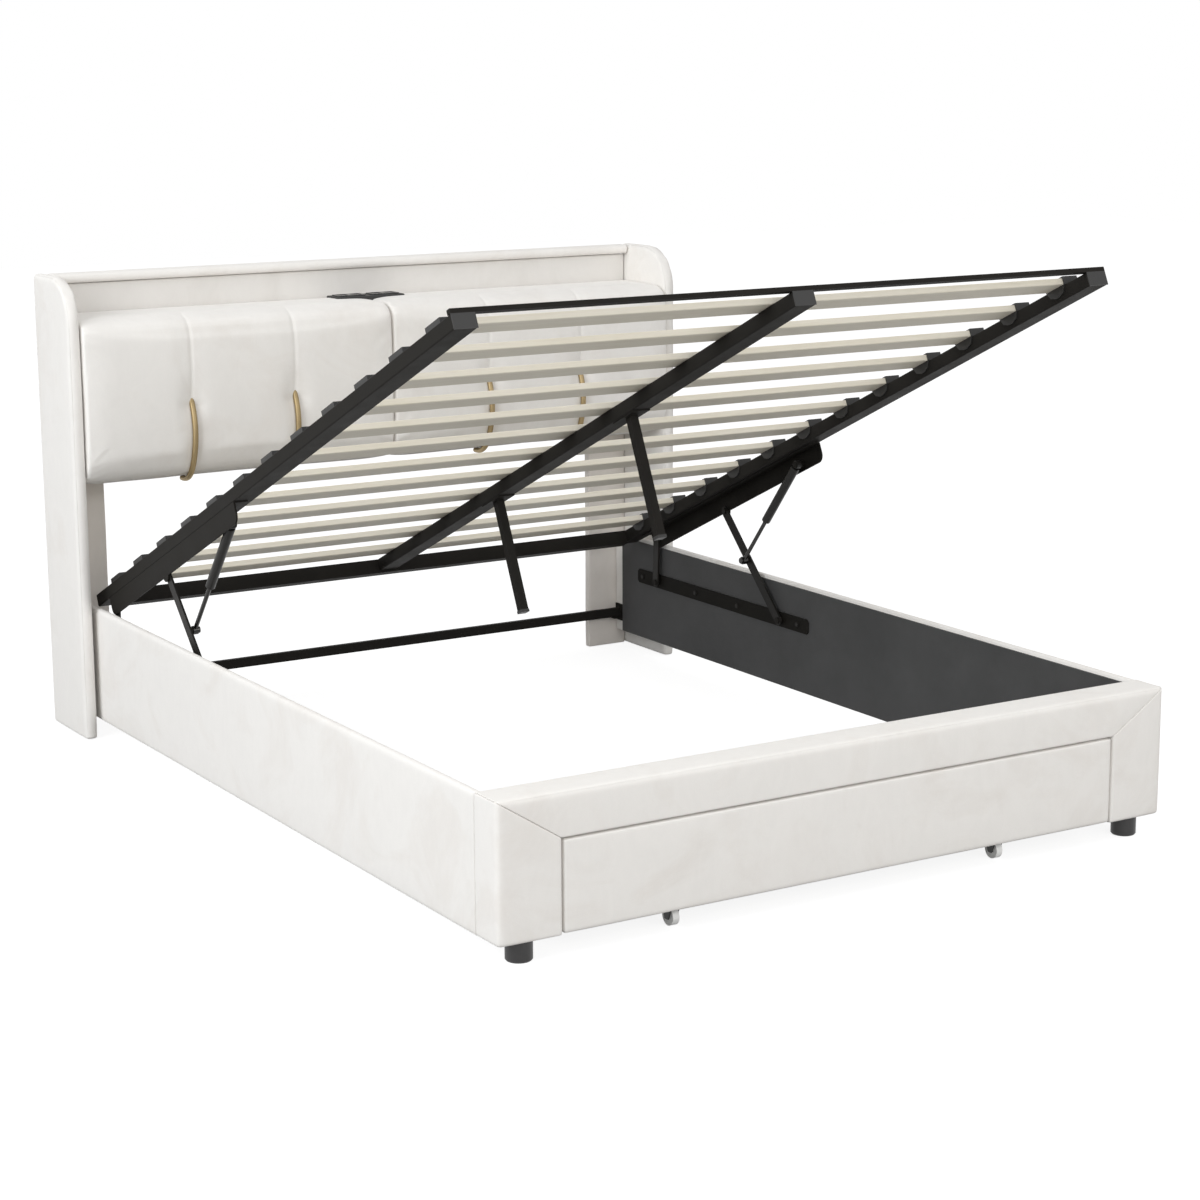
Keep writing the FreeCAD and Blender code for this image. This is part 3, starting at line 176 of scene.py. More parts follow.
def bare_metal(name, colour, gloss, along_x=False):
    """Bright metal with fine drawn lines."""
    made, tree, shader = new_material(name)
    vector = coordinates(tree, (0.04, 1, 1) if along_x else (1, 1, 0.06))
    lines = noise_value(tree, vector, 1400, 3, 0.6)
    clouds = noise_value(tree, coordinates(tree), 30, 3, 0.5)
    tint = ramp(tree, clouds, [(0.3, tuple(0.93 * c for c in colour)), (0.7, colour)])
    tree.links.new(tint, shader.inputs["Base Color"])
    tree.links.new(remap(tree, lines, 0.3, 0.7, gloss - 0.04, gloss + 0.06), shader.inputs["Roughness"])
    shader.inputs["Metallic"].default_value = 1.0
    bump(tree, shader, [(lines, 0.0001, 0.12)])
    return made


def timber(name, light, dark, grain=(0.05, 1, 1), gloss=0.5):
    """Sealed wood with fine grain lines along one axis and paler bands."""
    made, tree, shader = new_material(name)
    vector = coordinates(tree, grain)
    bands = noise_value(tree, vector, 60, 6, 0.62, 0.6)
    fibres = noise_value(tree, vector, 420, 4, 0.7, 0.2)
    colour = ramp(tree, bands, [(0.32, dark), (0.6, light)])
    fibre_tone = remap(tree, fibres, 0.3, 0.7, 0.95, 1.03)
    tree.links.new(mix_colours(tree, 1.0, colour, fibre_tone, "MULTIPLY"), shader.inputs["Base Color"])
    tree.links.new(remap(tree, bands, 0.3, 0.7, gloss - 0.06, gloss + 0.06), shader.inputs["Roughness"])
    shader.inputs["Specular IOR Level"].default_value = 0.4
    bump(tree, shader, [(fibres, 0.0002, 0.25)])
    return made


def plastic(name, colour, gloss=0.45, grain_size=1500):
    """Moulded plastic with a fine spark-eroded grain."""
    made, tree, shader = new_material(name)
    vector = coordinates(tree)
    grain = noise_value(tree, vector, grain_size, 2, 0.5)
    clouds = noise_value(tree, vector, 25, 3, 0.5)
    tint = ramp(tree, clouds, [(0.3, tuple(0.88 * c for c in colour)),
                                (0.7, tuple(1.08 * c for c in colour))])
    tree.links.new(tint, shader.inputs["Base Color"])
    tree.links.new(remap(tree, clouds, 0.3, 0.7, gloss - 0.04, gloss + 0.05), shader.inputs["Roughness"])
    bump(tree, shader, [(grain, 0.00012, 0.3)])
    return made


def felt(name, colour):
    """Dark non-woven cover glued on a board: matted short fibres."""
    made, tree, shader = new_material(name)
    vector = coordinates(tree)
    fibres = noise_value(tree, vector, 520, 5, 0.75, 2.0)
    clouds = noise_value(tree, vector, 5, 4, 0.6)
    tint = ramp(tree, clouds, [(0.3, tuple(0.85 * c for c in colour)),
                                (0.7, tuple(1.15 * c for c in colour))])
    tone = remap(tree, fibres, 0.3, 0.7, 0.9, 1.1)
    tree.links.new(mix_colours(tree, 1.0, tint, tone, "MULTIPLY"), shader.inputs["Base Color"])
    shader.inputs["Roughness"].default_value = 0.72
    shader.inputs["Specular IOR Level"].default_value = 0.35
    bump(tree, shader, [(fibres, 0.0003, 0.3)])
    return made


ivory = velvet("ivory_velvet_pile", (0.874, 0.852, 0.820), (0.838, 0.808, 0.770))
# Painted shade: the headboard legs take a darker, warmer copy of the same ivory velvet, standing in for the
# shade on them.
legs_painted_shade_ivory = velvet("ivory_velvet_legs", (0.860, 0.815, 0.765), (0.825, 0.778, 0.726))
# Painted shade: the back panel, in its nook, takes a darker copy of the same ivory velvet, standing in for
# the shade there.
panel_painted_shade_ivory = velvet("ivory_velvet_panel", (0.775, 0.755, 0.727), (0.745, 0.724, 0.694))
black_steel = powder_coat("black_powder_coat", (0.0110, 0.0101, 0.0086), 0.50, 0.03)
link_steel = powder_coat("black_link_steel", (0.0105, 0.0096, 0.0084), 0.42, 0.10)
spring_paint = powder_coat("gas_spring_paint", (0.0105, 0.0098, 0.0092), 0.30, 0.18)
rod_steel = bare_metal("rod_steel", (0.050, 0.049, 0.048), 0.26)
gold = bare_metal("satin_gold", (0.36, 0.275, 0.150), 0.50)
slat_wood = timber("slat_plywood", (0.790, 0.742, 0.635), (0.745, 0.692, 0.570))
box_board = timber("drawer_board", (0.70, 0.68, 0.63), (0.62, 0.60, 0.55), (0.08, 0.08, 1), 0.55)
black_plastic = plastic("black_plastic", (0.018, 0.0175, 0.017), 0.5)
foot_plastic = plastic("foot_plastic", (0.022, 0.021, 0.021), 0.42)
gloss_plastic = plastic("gloss_black_plastic", (0.012, 0.012, 0.012), 0.22)
wheel_plastic = plastic("pale_wheel_plastic", (0.90, 0.90, 0.885), 0.42)
lining_felt = felt("dark_lining_felt", (0.060, 0.060, 0.0605))

finishes = {
    "gold_straps": gold, "socket_station": black_plastic, "socket_modules": gloss_plastic,
    "left_rail_lining": lining_felt, "right_rail_lining": lining_felt,
    "footboard_inner_panel": lining_felt, "front_feet": foot_plastic,
    "crossbar": black_steel, "crossbar_brackets": black_steel,
    "left_base_bracket": black_steel, "right_base_bracket": black_steel,
    "left_upper_bracket": black_steel, "right_upper_bracket": black_steel,
    "left_short_link": link_steel, "right_short_link": link_steel,
    "left_long_link": link_steel, "right_long_link": link_steel,
    "left_gas_cylinder": spring_paint, "right_gas_cylinder": spring_paint,
    "left_gas_rod": rod_steel, "right_gas_rod": rod_steel,
    "left_side_tube": black_steel, "right_side_tube": black_steel, "head_tube": black_steel,
    "centre_beam": black_steel, "foot_bar": black_steel, "tube_end_caps": black_plastic,
    "slats": slat_wood, "left_slat_holders": black_plastic, "right_slat_holders": black_plastic,
    "centre_legs": black_steel, "centre_leg_plates": black_steel, "centre_leg_feet": black_plastic,
    "castor_housings": black_plastic, "shelf_box_core": box_board,
    "left_drawer_side": box_board, "right_drawer_side": box_board, "drawer_back": box_board,
    "drawer_floor": box_board,
}
for place in ("front_left", "front_right", "rear_left", "rear_right"):
    finishes["castor_wheel_" + place] = wheel_plastic
for node, finish in finishes.items():
    slots = nodes[node].data.materials
    if len(slots) == 0:
        slots.append(finish)
    for index in range(len(slots)):
        slots[index] = finish


# Soft pieces

def grid_box(low, high, cell, tight):
    """A closed box of quads about cell apart, with extra rows of the tight width near its edges."""
    cuts = []
    for axis in range(3):
        span = high[axis] - low[axis]
        edge = min(tight, span / 2.5)
        inner = max(1, round((span - 2 * edge) / cell))
        marks = [0.0, edge * 0.12, edge * 0.3, edge * 0.6, edge]
        marks += [edge + (span - 2 * edge) * step / inner for step in range(1, inner)]
        marks += [span - edge, span - edge * 0.6, span - edge * 0.3, span - edge * 0.12, span]
        cuts.append([low[axis] + mark for mark in marks])
    points = {}
    mesh = bmesh.new()

    def vertex(i, j, k):
        if (i, j, k) not in points:
            points[(i, j, k)] = mesh.verts.new((cuts[0][i], cuts[1][j], cuts[2][k]))
        return points[(i, j, k)]

    counts = [len(marks) - 1 for marks in cuts]
    for axis in range(3):
        first, second = [other for other in range(3) if other != axis]
        for end in (0, counts[axis]):
            for a in range(counts[first]):
                for b in range(counts[second]):
                    ring = []
                    for step_a, step_b in ((0, 0), (1, 0), (1, 1), (0, 1)):
                        index = [0, 0, 0]
                        index[axis] = end
                        index[first] = a + step_a
                        index[second] = b + step_b
                        ring.append(vertex(*index))
                    mesh.faces.new(ring)
    bmesh.ops.recalc_face_normals(mesh, faces=mesh.faces)
    return mesh


def round_off(mesh, low, high, radii):
    """Round the box's edges: radii is ((x low, x high), (y low, y high), (z low, z high))."""
    for vert in mesh.verts:
        point = vert.co
        core = Vector((0, 0, 0))
        scaled = Vector((0, 0, 0))
        sizes = Vector((1, 1, 1))
        for axis in range(3):
            if radii[axis] is None:
                core[axis] = point[axis]
                continue
            near_low = low[axis] + radii[axis][0]
            near_high = high[axis] - radii[axis][1]
            if point[axis] < near_low:
                core[axis] = near_low
                sizes[axis] = radii[axis][0]
            elif point[axis] > near_high:
                core[axis] = near_high
                sizes[axis] = radii[axis][1]
            else:
                core[axis] = point[axis]
            scaled[axis] = (point[axis] - core[axis]) / sizes[axis]
        reach = scaled.length
        if reach > 1e-9:
            most = max(abs(value) for value in scaled)
            scaled = scaled * (most / reach)
            vert.co = core + Vector([scaled[axis] * sizes[axis] for axis in range(3)])


def finish_piece(name, mesh, material, body, stands_for=(), smooth=True, level=0):
    """Make the piece, dress it and let it ride."""
    data = bpy.data.meshes.new(name)
    mesh.normal_update()
    mesh.to_mesh(data)
    mesh.free()
    piece = bpy.data.objects.new(name, data)
    bpy.context.scene.collection.objects.link(piece)
    data.materials.append(material)
    for face in data.polygons:
        face.use_smooth = smooth
    if level:
        modifier = piece.modifiers.new("Smooth", "SUBSURF")
        modifier.levels = level
        modifier.render_levels = level
    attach(piece, body)
    if stands_for:
        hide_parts(*stands_for)
    return piece


def ripple(point, scale, seed):
    """Smooth random height between about -1 and 1."""
    return noise.noise(point * scale + Vector((seed, 2.3 * seed, 0.7 * seed)))


def puff(mesh, low, high, amount, wave=0.0, seed=1.0, scale=7.0, rim=0.05, still=()):
    """Raise every face of a board a little in its middle and let the cover wave; still faces stay flat."""
    mesh.normal_update()
    moves = []
    for vert in mesh.verts:
        share = 1.0
        for axis in range(3):
            if abs(vert.normal[axis]) < 0.7:
                depth = min(vert.co[axis] - low[axis], high[axis] - vert.co[axis])
                share *= max(0.0, min(1.0, depth / rim)) ** 0.5
        if any(vert.normal.dot(Vector(way)) > 0.5 for way in still):
            share = 0.0
        height = amount * share + wave * share * ripple(vert.co, scale, seed)
        moves.append(vert.normal * height)
    for vert, move in zip(mesh.verts, moves):
        vert.co += move


def padded_board(name, node, radii, body="bed_frame", cell=0.03, tight=0.02, amount=0.0015, wave=0.0008,
                 seed=1.0, shape=None, shrink=0.0015, still=(), cover=None):
    """A board wrapped in velvet over thin foam, in the place of its CAD solid."""
    low, high = (Vector(corner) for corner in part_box(node))
    low += Vector((shrink, shrink, shrink))
    high -= Vector((shrink, shrink, shrink))
    mesh = grid_box(low, high, cell, tight)
    round_off(mesh, low, high, radii)
    puff(mesh, low, high, amount, wave, seed, still=still)
    if shape is not None:
        for vert in mesh.verts:
            vert.co = shape(vert.co, low, high)
    piece = finish_piece(name, mesh, cover or ivory, body, (node,))
    return piece


# Wings

def wing_shape(point, low, high):
    """Turn the square front top corner into a quarter round, evenly from its two sides."""
    radius = 0.110
    centre_y = low.y + radius
    centre_z = high.z - radius
    over_y = (centre_y - point.y) / radius
    over_z = (point.z - centre_z) / radius
    if over_y > 0 and over_z > 0:
        return Vector((point.x, centre_y - radius * over_y * math.sqrt(max(0.0, 1 - over_z * over_z / 2)),
                       centre_z + radius * over_z * math.sqrt(max(0.0, 1 - over_y * over_y / 2))))
    return point


for word, side in (("left", -1), ("right", 1)):
    padded_board(word + "_wing_pad", word + "_wing", ((0.012, 0.012), (0.012, 0.006), (0.004, 0.012)),
                 cell=0.012, tight=0.014, amount=0.002, wave=0.001, seed=2 + side, shape=wing_shape)
    # The leg covers use the darker velvet copy, which is painted shade.
    padded_board(word + "_leg_cover", word + "_headboard_leg",
                 ((0.004, 0.004), (0.004, 0.004), (0.002, 0.002)), tight=0.01, seed=5 + side, amount=0.0008,
                 cover=legs_painted_shade_ivory)
    padded_board(word + "_rail_pad", word + "_side_rail",
                 ((0.007, 0.007), (0.001, 0.001), (0.007, 0.010)), cell=0.035, tight=0.016, amount=0.0012,
                 wave=0.0012, seed=8 + side, shrink=0.0003, still=((0, -1, 0), (0, 1, 0)))

# The back panel cover uses the darker velvet copy, which is painted shade.
padded_board("back_panel_cover", "headboard_back_panel", ((0.003, 0.003), (0.004, 0.004), (0.003, 0.003)),
             cell=0.03, tight=0.012, amount=0.001, wave=0.0008, seed=12, cover=panel_painted_shade_ivory)
padded_board("top_rail_pad", "headboard_top_rail", ((0.004, 0.004), (0.012, 0.007), (0.011, 0.010)),
             cell=0.02, tight=0.012, amount=0.001, wave=0.0006, seed=14)


# Footboard

mitre_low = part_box("footboard_top_rail")[0][2]
mitre_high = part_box("footboard_top_rail")[1][2]
post_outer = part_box("right_footboard_post")[1][0]
post_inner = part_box("right_footboard_post")[0][0]


def mitre_height(x):
    """Height of the mitre line at a distance from the middle."""
    share = (abs(x) - post_inner) / (post_outer - post_inner)
    return mitre_low + share * (mitre_high - mitre_low)


def post_shape(point, low, high):
    """Cut the post's top along the mitre."""
    full = high.z - low.z
    wanted = mitre_height(point.x) - low.z
    return Vector((point.x, point.y, low.z + (point.z - low.z) * wanted / full))


def top_shape(point, low, high):
    """Draw the rail's ends in along the mitre towards its lower edge."""
    share = (point.z - mitre_low) / (mitre_high - mitre_low)
    half = post_inner + share * (post_outer - post_inner)
    return Vector((point.x * half / high.x, point.y, point.z))


for word, side in (("left", -1), ("right", 1)):
    outer = (0.012, 0.004) if side < 0 else (0.004, 0.012)
    padded_board(word + "_post_pad", word + "_footboard_post", (outer, (0.010, 0.001), (0.006, 0.0008)),
                 cell=0.014, tight=0.014, amount=0.0012, wave=0.001, seed=20 + side, shape=post_shape,
                 shrink=0.0003, still=((0, 1, 0), (0, 0, 1)))
padded_board("foot_rail_pad", "footboard_top_rail", ((0.0008, 0.0008), (0.010, 0.001), (0.0015, 0.010)),
             cell=0.018, tight=0.014, amount=0.0015, wave=0.0012, seed=24, shape=top_shape, shrink=0.0003,
             still=((1, 0, 0), (-1, 0, 0), (0, 1, 0), (0, 0, -1)))
padded_board("drawer_front_pad", "drawer_front", ((0.004, 0.004), (0.007, 0.003), (0.006, 0.002)),
             body="drawer", cell=0.018, tight=0.014, amount=0.0015, wave=0.0012, seed=26, shrink=0.0003,
             still=((0, 0, 1),))


# Shelf pads, swollen as cloth and then pulled in along their channels

channel_xs = (0.273, 0.546)
channel_foot = 0.809
crease_rows = (-0.014, -0.007, -0.003, 0.0, 0.003, 0.007, 0.014)
wing_gap = 0.0015
pad_trim = 0.002
pad_belly = 0.005
held_rear = 0.03
held_end = 0.004
swell_pressure = 1.7
swell_most = 0.0035
split_radius = 0.009
wing_end_radius = 0.005
wing_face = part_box("right_wing")[0][0]
strap_backs = ((0.606, 0.905), (0.612, 0.895), (0.619, 0.886), (0.628, 0.878), (0.640, 0.868),
               (0.653, 0.8605), (0.676, 0.8525), (0.700, 0.847), (0.723, 0.8441), (0.748, 0.8443),
               (0.773, 0.8477), (0.797, 0.8545), (0.809, 0.859))


def meshed(mesh, voxel):
    """An object from the mesh with faces of one even size."""
    data = bpy.data.meshes.new("cloth")
    mesh.to_mesh(data)
    mesh.free()
    cloth = bpy.data.objects.new("cloth", data)
    bpy.context.scene.collection.objects.link(cloth)
    remesh = cloth.modifiers.new("Even", "REMESH")
    remesh.mode = "VOXEL"
    remesh.voxel_size = voxel
    graph = bpy.context.evaluated_depsgraph_get()
    even = bpy.data.meshes.new_from_object(cloth.evaluated_get(graph))
    cloth.modifiers.clear()
    cloth.data = even
    return cloth


def swollen(mesh, held, pressure, most, frames=16, voxel=0.0065):
    """Blow the closed cover up as cloth, hold what held names, and cap the travel of each point."""
    cloth = meshed(mesh, voxel)
    starts = [vert.co.copy() for vert in cloth.data.vertices]
    pins = cloth.vertex_groups.new(name="held")
    pins.add([index for index, start in enumerate(starts) if held(start)], 1.0, "REPLACE")
    modifier = cloth.modifiers.new("Cover", "CLOTH")
    settings = modifier.settings
    settings.quality = 4
    settings.mass = 0.25
    settings.tension_stiffness = 20
    settings.compression_stiffness = 20
    settings.shear_stiffness = 8
    settings.bending_stiffness = 0.4
    settings.use_pressure = True
    settings.uniform_pressure_force = pressure
    settings.vertex_group_mass = "held"
    settings.effector_weights.gravity = 0
    modifier.collision_settings.use_collision = False
    modifier.point_cache.frame_start = 1
    modifier.point_cache.frame_end = frames
    for step in range(1, frames + 1):
        bpy.context.scene.frame_set(step)
    graph = bpy.context.evaluated_depsgraph_get()
    blown = cloth.evaluated_get(graph).to_mesh()
    moves = [vert.co - start for vert, start in zip(blown.vertices, starts)]
    cloth.evaluated_get(graph).to_mesh_clear()
    cloth.modifiers.clear()
    bpy.context.scene.frame_set(1)
    for vert, start, move in zip(cloth.data.vertices, starts, moves):
        reach = move.length
        vert.co = start + move * (most * math.tanh(reach / most) / reach if reach > 1e-9 else 0.0)
    shaped = bmesh.new()
    shaped.from_mesh(cloth.data)
    bpy.data.objects.remove(cloth)
    return shaped


def cut_rows(mesh, places):
    """Extra rows of vertices across the mesh at each x, for folds finer than its faces."""
    for place in places:
        parts = list(mesh.verts) + list(mesh.edges) + list(mesh.faces)
        bmesh.ops.bisect_plane(mesh, geom=parts, dist=0.0002, plane_co=(place, 0, 0), plane_no=(1, 0, 0))


def eased(value):
    value = max(0.0, min(1.0, value))
    return value * value * (3 - 2 * value)


def fold_depth(point, front):
    """How deep the cover is pulled in at a point by its channels, deepest at the strap's top."""
    depth = 0.0
    for line in channel_xs:
        gap = abs(point.x) - line
        above = eased((point.z - channel_foot + 0.05) / 0.06)
        near_strap = math.exp(-((point.z - channel_foot) / 0.045) ** 2)
        crease = 0.0022 * math.exp(-(gap / 0.0045) ** 2) * above
        valley = (0.0025 + 0.0080 * near_strap) * math.exp(-(gap / 0.030) ** 2)
        valley *= eased((point.z - channel_foot + 0.11) / 0.11)
        depth = max(depth, crease + valley)
    back_along = (point.y - front) / 0.085
    return depth * (1.0 - eased(back_along))


def soften_ends(mesh, low, high, first, last):
    """Draw the section in towards its two ends in x, each as a small radius."""
    middle = (low + high) / 2
    half = (high - low) / 2
    for vert in mesh.verts:
        inset = 0.0
        for gap, radius in ((vert.co.x - low.x, first), (high.x - vert.co.x, last)):
            if gap < radius:
                turn = 1 - max(0.0, gap) / radius
                inset = radius * (1 - math.sqrt(max(0.0, 1 - turn * turn)))
        vert.co.y = middle.y + (vert.co.y - middle.y) * (1 - inset / half.y)
        vert.co.z = middle.z + (vert.co.z - middle.z) * (1 - inset / half.z)


def strap_back(height):
    """How far forward the strap's back surface lies at a height."""
    if height <= strap_backs[0][0]:
        return strap_backs[0][1]
    for (low_z, low_y), (high_z, high_y) in zip(strap_backs, strap_backs[1:]):
        if height <= high_z:
            return low_y + (high_y - low_y) * (height - low_z) / (high_z - low_z)
    return strap_backs[-1][1]


def seat_under_straps(mesh, high):
    """Press the cover in where the straps lie on it, down to the hooks."""
    for vert in mesh.verts:
        spot = vert.co
        if spot.y > high.y - 0.05 or spot.z > channel_foot:
            continue
        gap = min(abs(abs(spot.x) - line) for line in channel_xs)
        near = math.exp(-(max(0.0, gap - 0.005) / 0.018) ** 2) * eased((channel_foot - spot.z) / 0.02)
        seat = strap_back(spot.z)
        if spot.y < seat:
            spot.y += near * (seat - spot.y)


def cushion(side):
    """One padded half: crowned, drawn in at its ends and pulled in along two sewn channels."""
    word = "left" if side < 0 else "right"
    low, high = (Vector(corner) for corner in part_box(word + "_shelf_cushion"))
    if side > 0:
        high.x = wing_face - wing_gap
    else:
        low.x = wing_gap - wing_face
    shrunk_low = low + Vector((0, 0, pad_trim))
    shrunk_high = high - Vector((0, 0, pad_trim))
    mesh = grid_box(shrunk_low, shrunk_high, 0.014, 0.03)
    round_off(mesh, shrunk_low, shrunk_high, (None, (0.055, 0.004), (0.070, 0.038)))
    ends = (split_radius, wing_end_radius) if side > 0 else (wing_end_radius, split_radius)
    soften_ends(mesh, shrunk_low, shrunk_high, *ends)
    for vert in mesh.verts:
        share = (vert.co.z - low.z) / (high.z - low.z)
        belly = math.sin(math.pi * max(0.0, min(1.0, share * 1.12))) ** 0.8 if share * 1.12 < 1 else 0.0
        if vert.co.y < high.y - 0.10:
            vert.co.y -= pad_belly * belly
    mesh = swollen(mesh, lambda spot: (spot.y > high.y - held_rear or spot.x < low.x + held_end
                                      or spot.x > high.x - held_end), swell_pressure, swell_most)
    rows = [line + step for line in channel_xs for step in crease_rows]
    cut_rows(mesh, [side * row for row in rows])
    mesh.normal_update()
    moves = []
    for vert in mesh.verts:
        depth = fold_depth(vert.co, low.y)
        wave = 0.0007 * ripple(vert.co, 8.0, 31 + side) * (1.0 if vert.co.y < high.y - 0.05 else 0.0)
        moves.append(vert.normal * (wave - depth))
    for vert, move in zip(mesh.verts, moves):
        vert.co += move
    seat_under_straps(mesh, high)
    for vert in mesh.verts:
        vert.co.y = min(vert.co.y, high.y)
    piece = finish_piece(word + "_shelf_pad", mesh, ivory, "bed_frame",
                         (word + "_shelf_cushion",), level=1)


cushion(-1)
cushion(1)


# Straps, at the width measured in the photograph

strap_radius = 0.007
strap_route = ((0.861, 0.812), (0.846, 0.790), (0.8375, 0.757), (0.8360, 0.722), (0.842, 0.687),
               (0.857, 0.647), (0.880, 0.616), (0.907, 0.607), (0.930, 0.6075))


def straps():
    """Four smooth round bars that hook under the pads."""
    line = bpy.data.curves.new("straps", "CURVE")
    line.dimensions = "3D"
    line.bevel_depth = strap_radius
    line.bevel_resolution = 5
    line.use_fill_caps = True
    line.resolution_u = 10
    for place in channel_xs:
        for side in (-1, 1):
            spline = line.splines.new("NURBS")
            spline.points.add(len(strap_route) - 1)
            for point, (along, up) in zip(spline.points, strap_route):
                point.co = (side * place, along, up, 1)
            spline.order_u = 4
            spline.use_endpoint_u = True
    bent = bpy.data.objects.new("straps", line)
    bpy.context.scene.collection.objects.link(bent)
    graph = bpy.context.evaluated_depsgraph_get()
    mesh = bmesh.new()
    solid = bpy.data.meshes.new_from_object(bent.evaluated_get(graph))
    mesh.from_mesh(solid)
    bpy.data.objects.remove(bent)
    finish_piece("strap_bars", mesh, gold, "bed_frame", ("gold_straps",))


straps()


# Centre legs and front feet, at the widths measured in the photograph

def loose_parts(mesh):
    """The vertices of each separate shell."""
    left = set(mesh.verts)
    shells = []
    while left:
        shell = set()
        front = [left.pop()]
        while front:
            vert = front.pop()
            shell.add(vert)
            for edge in vert.link_edges:
                other = edge.other_vert(vert)
                if other in left:
                    left.remove(other)
                    front.append(other)
        shells.append(shell)
    return shells


def centre_of(points):
    total = Vector((0, 0, 0))
    for point in points:
        total += point
    return total / len(points)


def slimmed(name, node, share, axes, material, body):
    """A copy of a node whose shells are drawn in towards their axes; returns the axes it used."""
    mesh = bmesh.new()
    mesh.from_mesh(nodes[node].data)
    bmesh.ops.remove_doubles(mesh, verts=mesh.verts, dist=0.00001)
    used = []
    for shell in loose_parts(mesh):
        points = [vert.co.copy() for vert in shell]
        middle = centre_of(points)
        if axes is None:
            far = max(points, key=lambda point: (point - middle).length)
            rough = (far - middle).normalized()
            reach = max(abs((point - middle).dot(rough)) for point in points)
            head = centre_of([point for point in points if (point - middle).dot(rough) > 0.8 * reach])
            foot = centre_of([point for point in points if (point - middle).dot(rough) < -0.8 * reach])
            start, way = foot, (head - foot).normalized()
        else:
            start, way = min(axes, key=lambda axis: ((middle - axis[0]) -
                                                     axis[1] * (middle - axis[0]).dot(axis[1])).length)
        used.append((start, way))
        for vert in shell:
            along = start + way * (vert.co - start).dot(way)
            vert.co = along + (vert.co - along) * share
    finish_piece(name, mesh, material, body, (node,), smooth=False)
    return used


leg_share = 0.70
foot_share = 0.80
cad_foot_radius = 0.033
leg_axes = slimmed("slim_centre_legs", "centre_legs", leg_share, None, black_steel, "platform")
slimmed("slim_leg_caps", "centre_leg_feet", leg_share, leg_axes, black_plastic, "platform")
feet_low, feet_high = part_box("front_feet")
foot_reach = (feet_high[0] - feet_low[0]) / 2 - cad_foot_radius
feet_along = (feet_low[1] + feet_high[1]) / 2
foot_axes = [(Vector((side * foot_reach, feet_along, 0)), Vector((0, 0, 1))) for side in (-1, 1)]
slimmed("slim_front_feet", "front_feet", foot_share, foot_axes, foot_plastic, "bed_frame")


# Bolts of the base brackets

bolt_places = (0.025, 0.284, 0.479, 0.744)
bracket_plate = 0.004
bolt_radius = 0.0065
bolt_top_radius = 0.0056
bolt_height = 0.0035


def bracket_bolts(side):
    """Four flat bolt heads along the inner face of one base bracket."""
    word = "left" if side < 0 else "right"
    low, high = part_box(word + "_base_bracket")
    face = (high[0] - bracket_plate) if side > 0 else (low[0] + bracket_plate)
    mesh = bmesh.new()
    for place in bolt_places:
        turn = Matrix.Rotation(-side * math.pi / 2, 4, "Y")
        middle = Matrix.Translation((face - side * bolt_height / 2, high[1] - place, (low[2] + high[2]) / 2))
        bmesh.ops.create_cone(mesh, cap_ends=True, segments=28, radius1=bolt_radius,
                              radius2=bolt_top_radius, depth=bolt_height, matrix=middle @ turn)
    finish_piece(word + "_bracket_bolts", mesh, link_steel, "bed_frame", smooth=False)


bracket_bolts(-1)
bracket_bolts(1)


# Camera, floor and light

yaw, pitch, roll = 0.54915, 0.20856, 0.00501
forward = Vector((math.sin(yaw) * math.cos(pitch), math.cos(yaw) * math.cos(pitch), -math.sin(pitch)))
level = Vector((math.cos(yaw), -math.sin(yaw), 0))
upward = level.cross(forward)
sideways = level * math.cos(roll) - upward * math.sin(roll)
upright = level * math.sin(roll) + upward * math.cos(roll)
lens_data = bpy.data.cameras.new("camera")
lens_data.sensor_width = 36
lens_data.lens = 79.7535
lens_data.clip_end = 60
camera = bpy.data.objects.new("camera", lens_data)
bpy.context.scene.collection.objects.link(camera)
camera.matrix_world = Matrix((
    (sideways.x, upright.x, -forward.x, -3.0314),
    (sideways.y, upright.y, -forward.y, -5.0876),
    (sideways.z, upright.z, -forward.z, 1.6566),
    (0, 0, 0, 1)))
bpy.context.scene.camera = camera


def seen_directly(tree):
    """1 for what the camera sees directly, in a gloss or through glass, else 0."""
    path = tree.nodes.new("ShaderNodeLightPath")
    first = tree.nodes.new("ShaderNodeMath")
    first.operation = "MAXIMUM"
    tree.links.new(path.outputs["Is Camera Ray"], first.inputs[0])
    tree.links.new(path.outputs["Is Glossy Ray"], first.inputs[1])
    second = tree.nodes.new("ShaderNodeMath")
    second.operation = "MAXIMUM"
    tree.links.new(first.outputs[0], second.inputs[0])
    tree.links.new(path.outputs["Is Transmission Ray"], second.inputs[1])
    return second.outputs[0]


def studio_world():
    world = bpy.data.worlds.new("studio")
    world.use_nodes = True
    bpy.context.scene.world = world
    tree = world.node_tree
    tree.nodes.clear()
    output = tree.nodes.new("ShaderNodeOutputWorld")
    light = tree.nodes.new("ShaderNodeBackground")
    light.inputs["Color"].default_value = (1.0, 1.0, 1.0, 1)
    light.inputs["Strength"].default_value = 0.62
    seen = tree.nodes.new("ShaderNodeBackground")
    seen.inputs["Color"].default_value = (1, 1, 1, 1)
    seen.inputs["Strength"].default_value = 1.0
    mix = tree.nodes.new("ShaderNodeMixShader")
    tree.links.new(seen_directly(tree), mix.inputs["Fac"])
    tree.links.new(light.outputs[0], mix.inputs[1])
    tree.links.new(seen.outputs[0], mix.inputs[2])
    tree.links.new(mix.outputs[0], output.inputs["Surface"])


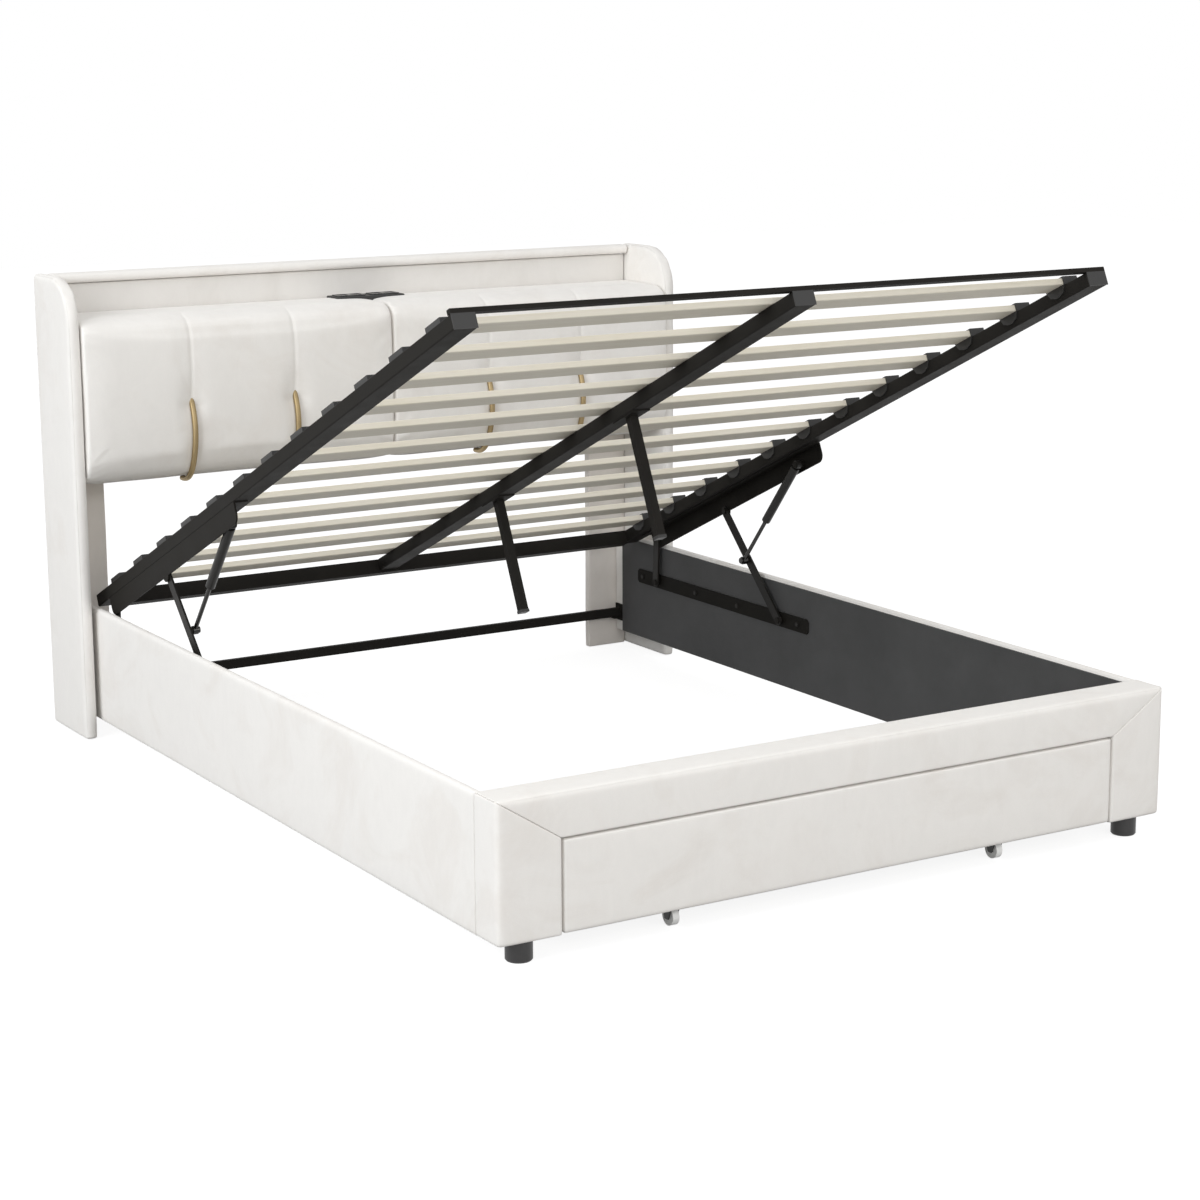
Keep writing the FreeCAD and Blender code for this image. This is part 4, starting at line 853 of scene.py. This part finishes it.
def studio_floor():
    """White floor that keeps a faint shadow of the bed."""
    data = bpy.data.meshes.new("floor")
    reach = 14.0
    data.from_pydata([(-reach, -reach, 0), (reach, -reach, 0), (reach, reach, 0), (-reach, reach, 0)],
                     [], [(0, 1, 2, 3)])
    floor = bpy.data.objects.new("floor", data)
    floor.location = (0, 0, -0.0005)
    bpy.context.scene.collection.objects.link(floor)
    made = bpy.data.materials.new("floor")
    made.use_nodes = True
    tree = made.node_tree
    tree.nodes.clear()
    output = tree.nodes.new("ShaderNodeOutputMaterial")
    matt = tree.nodes.new("ShaderNodeBsdfDiffuse")
    matt.inputs["Color"].default_value = (0.30, 0.30, 0.30, 1)
    glow = tree.nodes.new("ShaderNodeEmission")
    glow.inputs["Color"].default_value = (1, 1, 1, 1)
    tree.links.new(remap(tree, seen_directly(tree), 0, 1, 0.0, 0.86), glow.inputs["Strength"])
    both = tree.nodes.new("ShaderNodeAddShader")
    tree.links.new(matt.outputs[0], both.inputs[0])
    tree.links.new(glow.outputs[0], both.inputs[1])
    tree.links.new(both.outputs[0], output.inputs["Surface"])
    data.materials.append(made)


def soft_lamp(name, place, target, width, height, power, tint=(1, 1, 1)):
    data = bpy.data.lights.new(name, "AREA")
    data.shape = "RECTANGLE"
    data.size = width
    data.size_y = height
    data.energy = power
    data.color = tint
    lamp = bpy.data.objects.new(name, data)
    lamp.location = place
    lamp.rotation_euler = (Vector(target) - Vector(place)).to_track_quat("-Z", "Y").to_euler()
    lamp.visible_camera = False
    bpy.context.scene.collection.objects.link(lamp)


studio_world()
studio_floor()
soft_lamp("key", (-5.5, -0.9, 2.7), (0, 0, 0.5), 4.5, 3.5, 208, (0.955, 0.978, 1.0))
soft_lamp("front", (0.5, -6.5, 2.6), (0, 0, 0.5), 5.0, 3.0, 152, (1.0, 0.992, 0.978))
soft_lamp("top", (0.3, -0.8, 5.0), (0, -0.3, 0.3), 5.0, 5.0, 10)

bpy.context.scene.view_settings.view_transform = "Standard"

bpy.context.view_layer.update()
